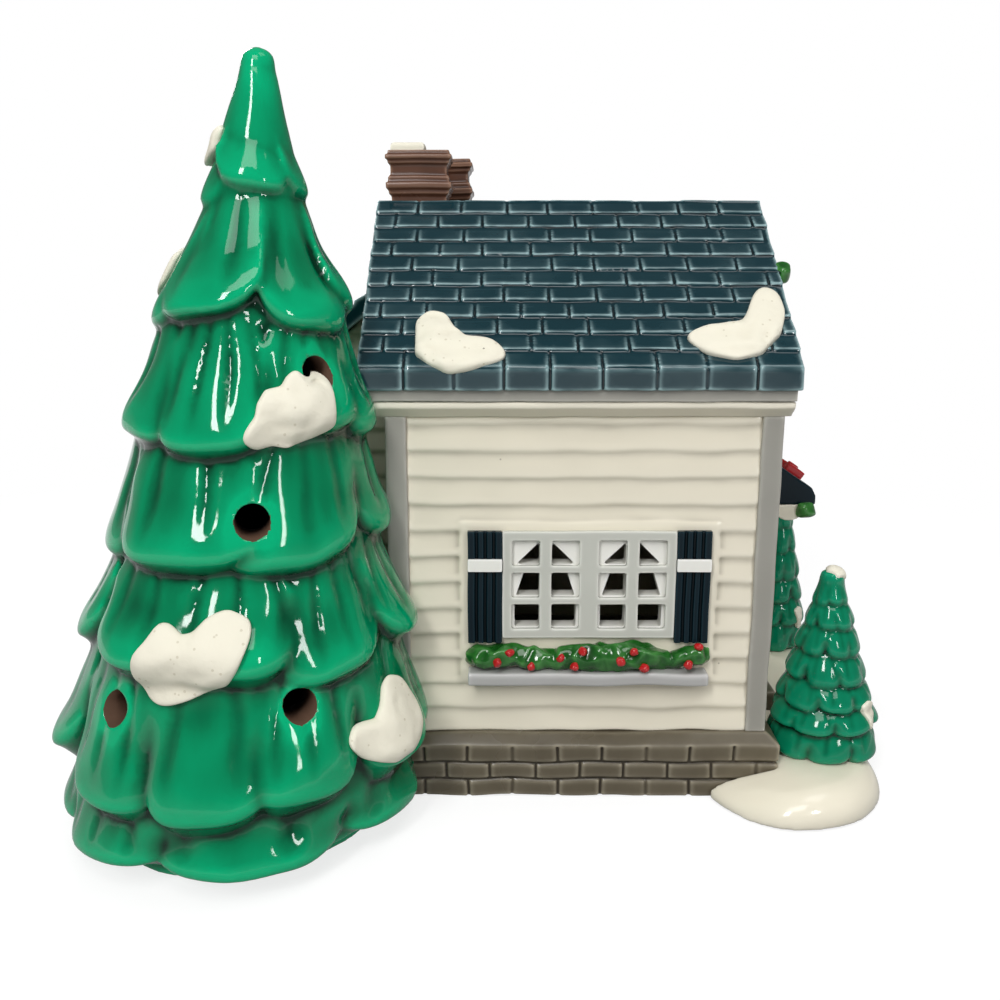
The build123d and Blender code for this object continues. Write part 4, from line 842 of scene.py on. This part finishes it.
# Each dab has its slope, its middle and its outline, along the eave and up the slope
roof_snow = {
    "roof_snow_left": (-1, (-33.0, 9.5), [
        (-39.3, 18.3), (-38.9, 7.0), (-35.5, 3.4), (-31.6, 1.6), (-26.4, 2.2), (-19.6, 4.6), (-17.5, 7.2),
        (-21.9, 12.5), (-26.6, 12.2), (-30.1, 15.5), (-31.9, 20.4), (-36.3, 21.6)]),
    "roof_snow_right": (-1, (39.0, 12.0), [
        (22.6, 13.6), (24.3, 10.3), (27.3, 7.2), (33.9, 5.2), (39.9, 7.2), (45.3, 13.8), (47.6, 20.8),
        (47.4, 28.5), (43.9, 31.4), (40.3, 28.2), (39.6, 22.6), (36.8, 18.1), (28.0, 16.2)]),
    "roof_snow_far": (1, (-11.0, 14.0), [
        (0.0, 20.0), (-7.0, 25.0), (-16.0, 21.0), (-22.0, 15.0), (-18.0, 9.0), (-9.0, 7.0), (-2.0, 11.0)]),
}
for seed, (name, (side, (mx, ms), points)) in enumerate(roof_snow.items()):
    slope = slope_frame(side)
    axes = slope.to_3x3()
    middle = slope @ (Vector((mx, ms, 4.0)) * MM)
    outline = [(x - mx, s - ms) for x, s in points]
    dab = dab_of_snow(roof_surface, middle, axes.col[0].copy(), axes.col[1].copy(), outline, ROOF_SNOW_THICK,
                      20 + seed, 5, ROOF_SNOW_SPAN)
    place_piece(name + "_dab", as_mesh(dab, name), [name], [pots["snow"]], 2)

# %% [markdown]
# ## The cast house
# The walls, trim, windows and foundation are plain shapes whose sizes are already right in the
# measured model. Modelling them again would only bring in errors. They just lack the softness of a
# casting, so each one is copied, cast at a cell size that fits its smallest detail and given its glaze.
# The walls are also warped a little, because the hand-carved clapboard lines of the real mould wander.
# Two pieces are set right: the snow mound runs out thin at its rear tip, and the bow sits
# further out on the hood.

# %% Settle the snow mound
TAIL_SIDE, TAIL_SIDE_SPAN = -28, 10  # the tail fades in across the mound, towards the photographed side
TAIL_END, TAIL_END_SPAN = 26, 32  # and fades out along it, towards the front
TAIL_DROP = 0.62


def settle_mound(mesh):
    """Let the snow mound run out thin towards its rear tip on the photographed side."""
    for vertex in mesh.vertices:
        x, y, z = vertex.co / MM
        side = smooth_step((TAIL_SIDE - y) / TAIL_SIDE_SPAN)
        tail = side * (1 - smooth_step((x - TAIL_END) / TAIL_END_SPAN))
        vertex.co.z -= TAIL_DROP * tail * max(0.0, z) * MM

# %% Cast the plain pieces
# Each piece has its pot and slot, the cell size, smoothing passes, most triangles and warp of its cast
plain_pieces = [
    ("house_walls", "cream", "cream_glaze", 0.55, 4, 190000, 0.5),
    ("stone_foundation", "stone", "stone_glaze", 0.32, 9, 150000, 0.5),
    ("corner_boards", "grey", "grey_glaze", 0.4, 3, 40000, 0.25),
    ("eave_crown_moulding", "cream", "cream_glaze", 0.4, 3, 30000, 0.2),
    ("eave_fascia", "grey", "grey_glaze", 0.4, 3, 30000, 0.2),
    ("wing_fascia", "grey", "grey_glaze", 0.4, 3, 30000, 0.2),
    ("front_rake_boards", "grey", "grey_glaze", 0.4, 3, 30000, 0.2),
    ("rear_rake_boards", "grey", "grey_glaze", 0.4, 3, 30000, 0.2),
    ("chimney_near", "brown", "brown_glaze", 0.35, 3, 60000, 0.3),
    ("chimney_far", "brown", "brown_glaze", 0.35, 3, 60000, 0.3),
    ("chimney_snow_cap", "snow", "snow_glaze", 0.25, 4, 20000, 0.5),
    ("front_door", "navy", "navy_glaze", 0.3, 3, 40000, 0.1),
    ("door_frame", "white", "white_glaze", 0.3, 3, 40000, 0.15),
    ("front_step", "stone", "stone_glaze", 0.45, 4, 40000, 0.4),
    ("door_hood", "shutter", "navy_glaze", 0.4, 4, 40000, 0.3),
    ("hood_valance", "cream", "cream_glaze", 0.35, 3, 30000, 0.2),
    ("hood_bow", "berry", "red_glaze", 0.25, 16, 30000, 0.3),
    ("front_yard_snow", "yard", "snow_glaze", 0.7, 12, 90000, 0.5),
    ("front_window_sashes", "sash", "grey_glaze", 0.28, 2, 50000, 0.1),
    ("front_window_curtains", "white", "white_glaze", 0.28, 2, 30000, 0.0),
]
for side in ("near", "far"):
    plain_pieces += [
        (side + "_window_sashes", "sash", "grey_glaze", 0.26, 2, 70000, 0.15),
        (side + "_window_curtains", "white", "white_glaze", 0.26, 2, 40000, 0.0),
        (side + "_shutters", "shutter", "navy_glaze", 0.26, 2, 60000, 0.15),
        (side + "_shutter_bands", "white", "white_glaze", 0.2, 3, 20000, 0.1),
        (side + "_window_ledge", "ledge", "white_glaze", 0.35, 4, 30000, 0.3),
    ]
BOW_SHIFT = Vector((6.0, 0, -4.6))
for seed, (name, pot, slot, cell, passes, most, warp) in enumerate(plain_pieces):
    mesh = cast(merged_copy(name), name, cell, passes, most)
    if warp:
        uneven(mesh, warp, 12.0, seed)
    if name == "front_yard_snow":
        settle_mound(mesh)
    if name == "hood_bow":
        mesh.transform(Matrix.Translation(BOW_SHIFT * MM))
    place_piece(name + "_cast", mesh, [name], [pots[pot]])

# %% [markdown]
# ## Greenery
# The garlands are ropes of clay, pressed in a mould and painted in patches of light and dark green, and
# the berries are dots of red glaze. Modelled needles would be too sharp here, so the rope is cast with
# many smoothing passes and only a slow wave goes over it. The rope on the hood is thinner, and longer
# smoothing shrinks it to that. The beads of the measured model stand on the rope; here they are sunk
# into it, until just a low cap shows, like a drop of thick glaze.

# %% Lay the garlands and dot the berries
garland_passes = {"near_window_garland": 10, "far_window_garland": 10, "hood_garland": 40,
                  "gable_garland": 10}
for name, passes in garland_passes.items():
    mesh = cast(merged_copy(name), name, 0.3, passes, 60000)
    uneven(mesh, 0.9, 3.2, 5)
    place_piece(name + "_rope", mesh, [name], [pots["leaf"]], 3)
SINK = 0.95
for name, way in (("near_garland_berries", 1), ("far_garland_berries", -1)):
    mesh = cast(merged_copy(name), name, 0.16, 3, 40000)
    uneven(mesh, 0.4, 1.6, 4)
    mesh.transform(Matrix.Translation((0, way * SINK * MM, 0)))
    place_piece(name + "_dots", mesh, [name], [pots["berry"]], 2)

# %% [markdown]
# ## The clipped topiaries
# Two small trees stand in the snow beside the door, clipped into cushions that get smaller towards a
# blunt tip. A stack of rings would be too regular for a mould made by hand. The boughs of the fir
# serve again: short, bulging outwards and packed seven to a tier, they fuse into lumpy cushions. Each
# tree has a cap of snow on its tip and one drip of it lower down, dabbed on as on the fir.

# %% Sizes of the topiaries
YARD, TOPIARY_HEIGHT, TOPIARY_TIP = 8.5, 47.0, 2.7
FOOT_SINK, FOOT_HEIGHT, FOOT_RADIUS = 2.0, 4.0, 10.5
TOPIARY_SNOW_THICK, TOPIARY_SNOW_SPAN = 0.8, 0.6
CAP_WAY, CAP_DROP = Vector((0.35, -0.2, 1.0)), 3.0  # facing of the snow cap, depth below the tip
DRIP_ANGLE, SNOW_OUT = 44, 3  # where the drip is round the trunk, and how far from it a dab starts
# Height above the yard and radius of each cushion
topiary_rims = [(0.6, 14.0), (7.2, 13.3), (13.0, 11.8), (19.0, 9.8), (26.0, 7.8), (32.5, 6.0), (38.5, 4.5)]
# Place, stretch in height, girth, and the height of the drip of snow before the stretch
topiaries = [("near_topiary", 63.4, -36.0, 1.0, 1.0, 12.0), ("far_topiary", 70.0, 36.0, 1.22, 0.72, 9.0)]
drip = [(-2.6, 2.6), (0.0, 3.4), (2.4, 2.4), (2.9, -0.6), (1.2, -4.2), (-0.8, -4.0), (-1.6, -1.0)]
tip_cap = [(-2.4, -1.2), (0.6, -2.9), (2.8, -1.6), (3.2, 1.4), (1.0, 2.8), (-1.8, 2.0)]
print("topiaries", [row[0] for row in topiaries], "cushions", len(topiary_rims))

# %% Clip the two topiaries
def straight_up(x, y):
    """Axis of a trunk that doesn't lean."""
    return lambda z: (x, y)


def topiary(x, y, stretch, girth, seed):
    """Clay of one topiary: cushions of seven boughs on a short foot."""
    tiers = [(YARD + stretch * z, girth * rim, 7, 26.0 * (k % 2)) for k, (z, rim) in enumerate(topiary_rims)]
    clay = evergreen(straight_up(x, y), tiers, tip=YARD + stretch * TOPIARY_HEIGHT,
                     tip_radius=TOPIARY_TIP * girth, foot=YARD, droop=1.0, seed=seed, flare=-0.9, crease=0.19,
                     pleats=(1.0,), pleat_depth=0.3)
    trunk_cone(clay, straight_up(x, y), YARD - FOOT_SINK, YARD + FOOT_HEIGHT, FOOT_RADIUS * girth,
               FOOT_RADIUS * girth)
    return clay


snow_clay = bmesh.new()
for seed, (name, x, y, stretch, girth, drip_z) in enumerate(topiaries):
    mesh = cast(topiary(x, y, stretch, girth, 31 + seed), name, 0.36, 9, 90000)
    surface = surface_of(mesh)
    top = YARD + stretch * TOPIARY_HEIGHT
    for away, z, outline in ((CAP_WAY, top - CAP_DROP, tip_cap),
                             (outward(DRIP_ANGLE), YARD + stretch * drip_z, drip)):
        away = away.normalized()
        across = Vector((0, 0, 1)).cross(away).normalized()
        spot = Vector((x, y, z)) * MM + away * SNOW_OUT * MM
        dab = dab_of_snow(surface, spot, across, away.cross(across), outline, TOPIARY_SNOW_THICK,
                          40 + seed, 4, TOPIARY_SNOW_SPAN)
        snow_clay.from_mesh(as_mesh(dab, "dab"))
    # The cushions' broad folds get painted shade and their bulges painted highlight.
    place_piece(name + "_boughs", mesh, [name], [pots["bush"]], 4, 30)
place_piece("topiary_snow_tips", as_mesh(snow_clay, "topiary_snow_tips"), ["topiary_snow_caps"],
            [pots["snow"]], 2)

# %% [markdown]
# ## The lamp and other pieces kept as measured
# The pull-out lamp is made by machine, so its measured shapes stay as they are: casting them would take
# away their crisp edges. They only need honest materials: moulded plastic with a faint satin grain,
# drawn brass with fine turning lines, spring steel brushed along its length, and thin clear glass. The
# brass also serves for the door knob, and the floor slab inside the house is bare clay.

# %% Finishes made by machine
def machined(name, base, metal, rough, scale, stretch):
    """Machine-made finish with fine lines; stretch squeezes the noise across them."""
    material, tree, shader = new_finish(name)
    shader.inputs["Metallic"].default_value = metal
    grain = drift(tree, scale, 3.0, stretch)
    dark = tuple(0.72 * c for c in colour(*base)[:3]) + (1.0,)
    wire(tree, blend(tree, grain, dark, colour(*base)), shader.inputs["Base Color"])
    wire(tree, maths(tree, "ADD", maths(tree, "MULTIPLY", grain, 0.2), rough), shader.inputs["Roughness"])
    tilt_skin(tree, shader, grain, 0.15, 0.1)
    return material


def clear_glass():
    """Thin glass with a little dust that dulls it in patches."""
    material, tree, shader = new_finish("clear_bulb_glass")
    shader.inputs["Transmission Weight"].default_value = 1.0
    shader.inputs["IOR"].default_value = 1.45
    dust = drift(tree, 120.0, 4.0)
    wire(tree, blend(tree, dust, (0.9, 0.91, 0.9, 1), (1, 1, 0.98, 1)), shader.inputs["Base Color"])
    wire(tree, maths(tree, "MULTIPLY", dust, 0.12), shader.inputs["Roughness"])
    return material

# %% Dress the pieces kept as measured
kept_finish = {
    "lamp_holder": machined("holder_plastic", (226, 220, 204), 0.0, 0.28, 300.0, (1, 1, 1)),
    "screw_shell": machined("drawn_brass", (201, 160, 84), 1.0, 0.18, 400.0, (6, 1, 1)),
    "clip_leaf_upper": machined("spring_steel", (182, 184, 188), 1.0, 0.2, 400.0, (0.3, 8, 8)),
    "bulb_glass": clear_glass(),
    "floor_slab": pots["bisque"],
}
for name in ("centre_contact", "bulb_tip", "bulb_base", "door_knob"):
    kept_finish[name] = kept_finish["screw_shell"]
kept_finish["clip_leaf_lower"] = kept_finish["clip_leaf_upper"]
for name, finish in kept_finish.items():
    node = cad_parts[name]
    node.data.materials.clear()
    node.data.materials.append(finish)
print("kept as measured", sorted(kept_finish))

# %% [markdown]
# ## Studio
# Glossy glaze is mostly what it reflects. One big soft light would leave it dull, so five lamps share
# the work: a narrow key lamp and a side lamp draw the sharp white streaks, a wide window lamp and a top
# lamp fill the walls and the roof, and a back lamp lights the far side. The surround is pure white to
# the camera only. In reflections it is dim, and dimmer still overhead, so that the dark glazes stay
# deep, and as a light it is weak, so that white walls do not burn out. The floor glows just enough for
# the camera to meet the white surround and still darkens where the house shades it.

# %% Floor
FLOOR_RADIUS = 3.0
FLOOR_DROP = 0.0002  # just under the part, so that the two don't share a plane
SHADE_NEAR, SHADE_FAR = 0.16, 0.42  # the floor turns from shaded to white between these distances
FLOOR_PAPER, FLOOR_GLOW, FLOOR_MIRRORED = 0.3, 0.76, 0.22


def direct_rays(tree):
    """Kinds of ray, and a mask of those that show a surface: seen, reflected or through glass."""
    seen = tree.nodes.new("ShaderNodeLightPath").outputs
    direct = maths(tree, "MAXIMUM", seen["Is Camera Ray"], seen["Is Glossy Ray"])
    return seen, maths(tree, "MAXIMUM", direct, seen["Is Transmission Ray"])


def floor_finish():
    """Pale floor: shaded near the house, white further out."""
    material, tree, _ = new_finish("studio_floor")
    tree.nodes.clear()
    where = tree.nodes.new("ShaderNodeTexCoord").outputs["Object"]
    span = tree.nodes.new("ShaderNodeVectorMath")
    span.operation = "LENGTH"
    wire(tree, where, span.inputs[0])
    far = tree.nodes.new("ShaderNodeMapRange")
    far.inputs["From Min"].default_value = SHADE_NEAR
    far.inputs["From Max"].default_value = SHADE_FAR
    wire(tree, span.outputs["Value"], far.inputs["Value"])
    seen, direct = direct_rays(tree)
    paper = tree.nodes.new("ShaderNodeBsdfDiffuse")
    paper.inputs["Color"].default_value = (FLOOR_PAPER, FLOOR_PAPER, FLOOR_PAPER, 1)
    glow = tree.nodes.new("ShaderNodeEmission")
    shown = maths(tree, "MAXIMUM", maths(tree, "MULTIPLY", seen["Is Camera Ray"], FLOOR_GLOW),
                  maths(tree, "MULTIPLY", direct, FLOOR_MIRRORED))
    wire(tree, shown, glow.inputs["Strength"])
    near = tree.nodes.new("ShaderNodeAddShader")
    wire(tree, paper.outputs[0], near.inputs[0])
    wire(tree, glow.outputs[0], near.inputs[1])
    white = tree.nodes.new("ShaderNodeEmission")
    choice = tree.nodes.new("ShaderNodeMixShader")
    wire(tree, maths(tree, "MULTIPLY", far.outputs[0], direct), choice.inputs[0])
    wire(tree, near.outputs[0], choice.inputs[1])
    wire(tree, white.outputs[0], choice.inputs[2])
    wire(tree, choice.outputs[0], tree.nodes.new("ShaderNodeOutputMaterial").inputs["Surface"])
    return material


floor = bmesh.new()
bmesh.ops.create_circle(floor, cap_ends=True, segments=96, radius=FLOOR_RADIUS)
bmesh.ops.translate(floor, vec=(0, 0, -FLOOR_DROP), verts=floor.verts)
floor_mesh = as_mesh(floor, "studio_floor")
floor_mesh.materials.append(floor_finish())
floor_object = bpy.data.objects.new("studio_floor", floor_mesh)
bpy.context.scene.collection.objects.link(floor_object)
print("floor", floor_object.name, "radius", FLOOR_RADIUS)

# %% Surround
SURROUND_LOW, SURROUND_HIGH = 0.42, 0.14  # brightness in reflections, at the horizon and overhead
HORIZON, OVERHEAD = 0.02, 0.2  # heights on a unit ball between which the one turns into the other
SURROUND_LIGHT = 0.36
world = bpy.data.worlds.new("studio_surround")
bpy.context.scene.world = world
world.use_nodes = True
tree = world.node_tree
seen, direct = direct_rays(tree)
skyward = tree.nodes.new("ShaderNodeSeparateXYZ")
wire(tree, tree.nodes.new("ShaderNodeTexCoord").outputs["Generated"], skyward.inputs[0])
ceiling = tree.nodes.new("ShaderNodeMapRange")
for label, value in (("From Min", HORIZON), ("From Max", OVERHEAD),
                     ("To Min", SURROUND_LOW), ("To Max", SURROUND_HIGH)):
    ceiling.inputs[label].default_value = value
wire(tree, skyward.outputs["Z"], ceiling.inputs["Value"])
shown = maths(tree, "MAXIMUM", seen["Is Camera Ray"], maths(tree, "MULTIPLY", direct, ceiling.outputs[0]))
as_light = maths(tree, "MULTIPLY", maths(tree, "SUBTRACT", 1.0, direct), SURROUND_LIGHT)
backdrop = tree.nodes["Background"]
backdrop.inputs["Color"].default_value = (1, 1, 1, 1)
wire(tree, maths(tree, "MAXIMUM", shown, as_light), backdrop.inputs["Strength"])
print("surround", len(tree.nodes), "nodes")

# %% Lamps
HOUSE_MIDDLE, TREE_SIDE = (0.0, 0, 0.07), (-0.03, 0, 0.07)
# Each lamp has its place, the spot it points at, its width and height in metres and its watts
studio_lamps = [
    ("key_lamp", (-0.30, -0.75, 0.62), TREE_SIDE, 0.13, 0.30, 3.4),
    ("side_lamp", (0.36, -0.70, 0.34), HOUSE_MIDDLE, 0.08, 0.20, 1.1),
    ("window_lamp", (-0.05, -0.62, 0.92), HOUSE_MIDDLE, 0.55, 0.36, 2.9),
    ("top_lamp", (0.30, -0.10, 0.92), HOUSE_MIDDLE, 0.40, 0.34, 0.9),
    ("back_lamp", (-0.45, 0.75, 0.55), TREE_SIDE, 0.2, 0.3, 2.6),
]


def lamp(name, place, aim, width, height, watts):
    """Rectangular studio lamp pointed at a spot."""
    data = bpy.data.lights.new(name, "AREA")
    data.shape = "RECTANGLE"
    data.size, data.size_y, data.energy = width, height, watts
    light = bpy.data.objects.new(name, data)
    light.location = place
    light.rotation_euler = (Vector(aim) - Vector(place)).to_track_quat("-Z", "Y").to_euler()
    bpy.context.scene.collection.objects.link(light)


for row in studio_lamps:
    lamp(*row)
print("lamps", [row[0] for row in studio_lamps])

# %% [markdown]
# ## The view
# The camera stands close to the window side, a little higher than the eaves, and looks slightly down.
# Close up, near things grow and far ones shrink, so the tree towers over the house. A long lens from
# far away would flatten that, so the lens is as wide as the lines of the house ask for. The view
# transform is the plain one, which shows a colour about as it is written.

# %% Camera
CAMERA_PLACE = (-0.0196, -0.2752, 0.1278)
CAMERA_DOWN = 12.93  # degrees below the level
view = bpy.data.cameras.new("window_side")
view.sensor_width, view.lens = 36.0, 36.0
camera = bpy.data.objects.new("window_side", view)
camera.location = CAMERA_PLACE
camera.rotation_euler = (math.radians(90 - CAMERA_DOWN), 0, 0)
bpy.context.scene.collection.objects.link(camera)
bpy.context.scene.camera = camera
bpy.context.scene.view_settings.view_transform = "Standard"
print("camera", CAMERA_PLACE, "down", CAMERA_DOWN)
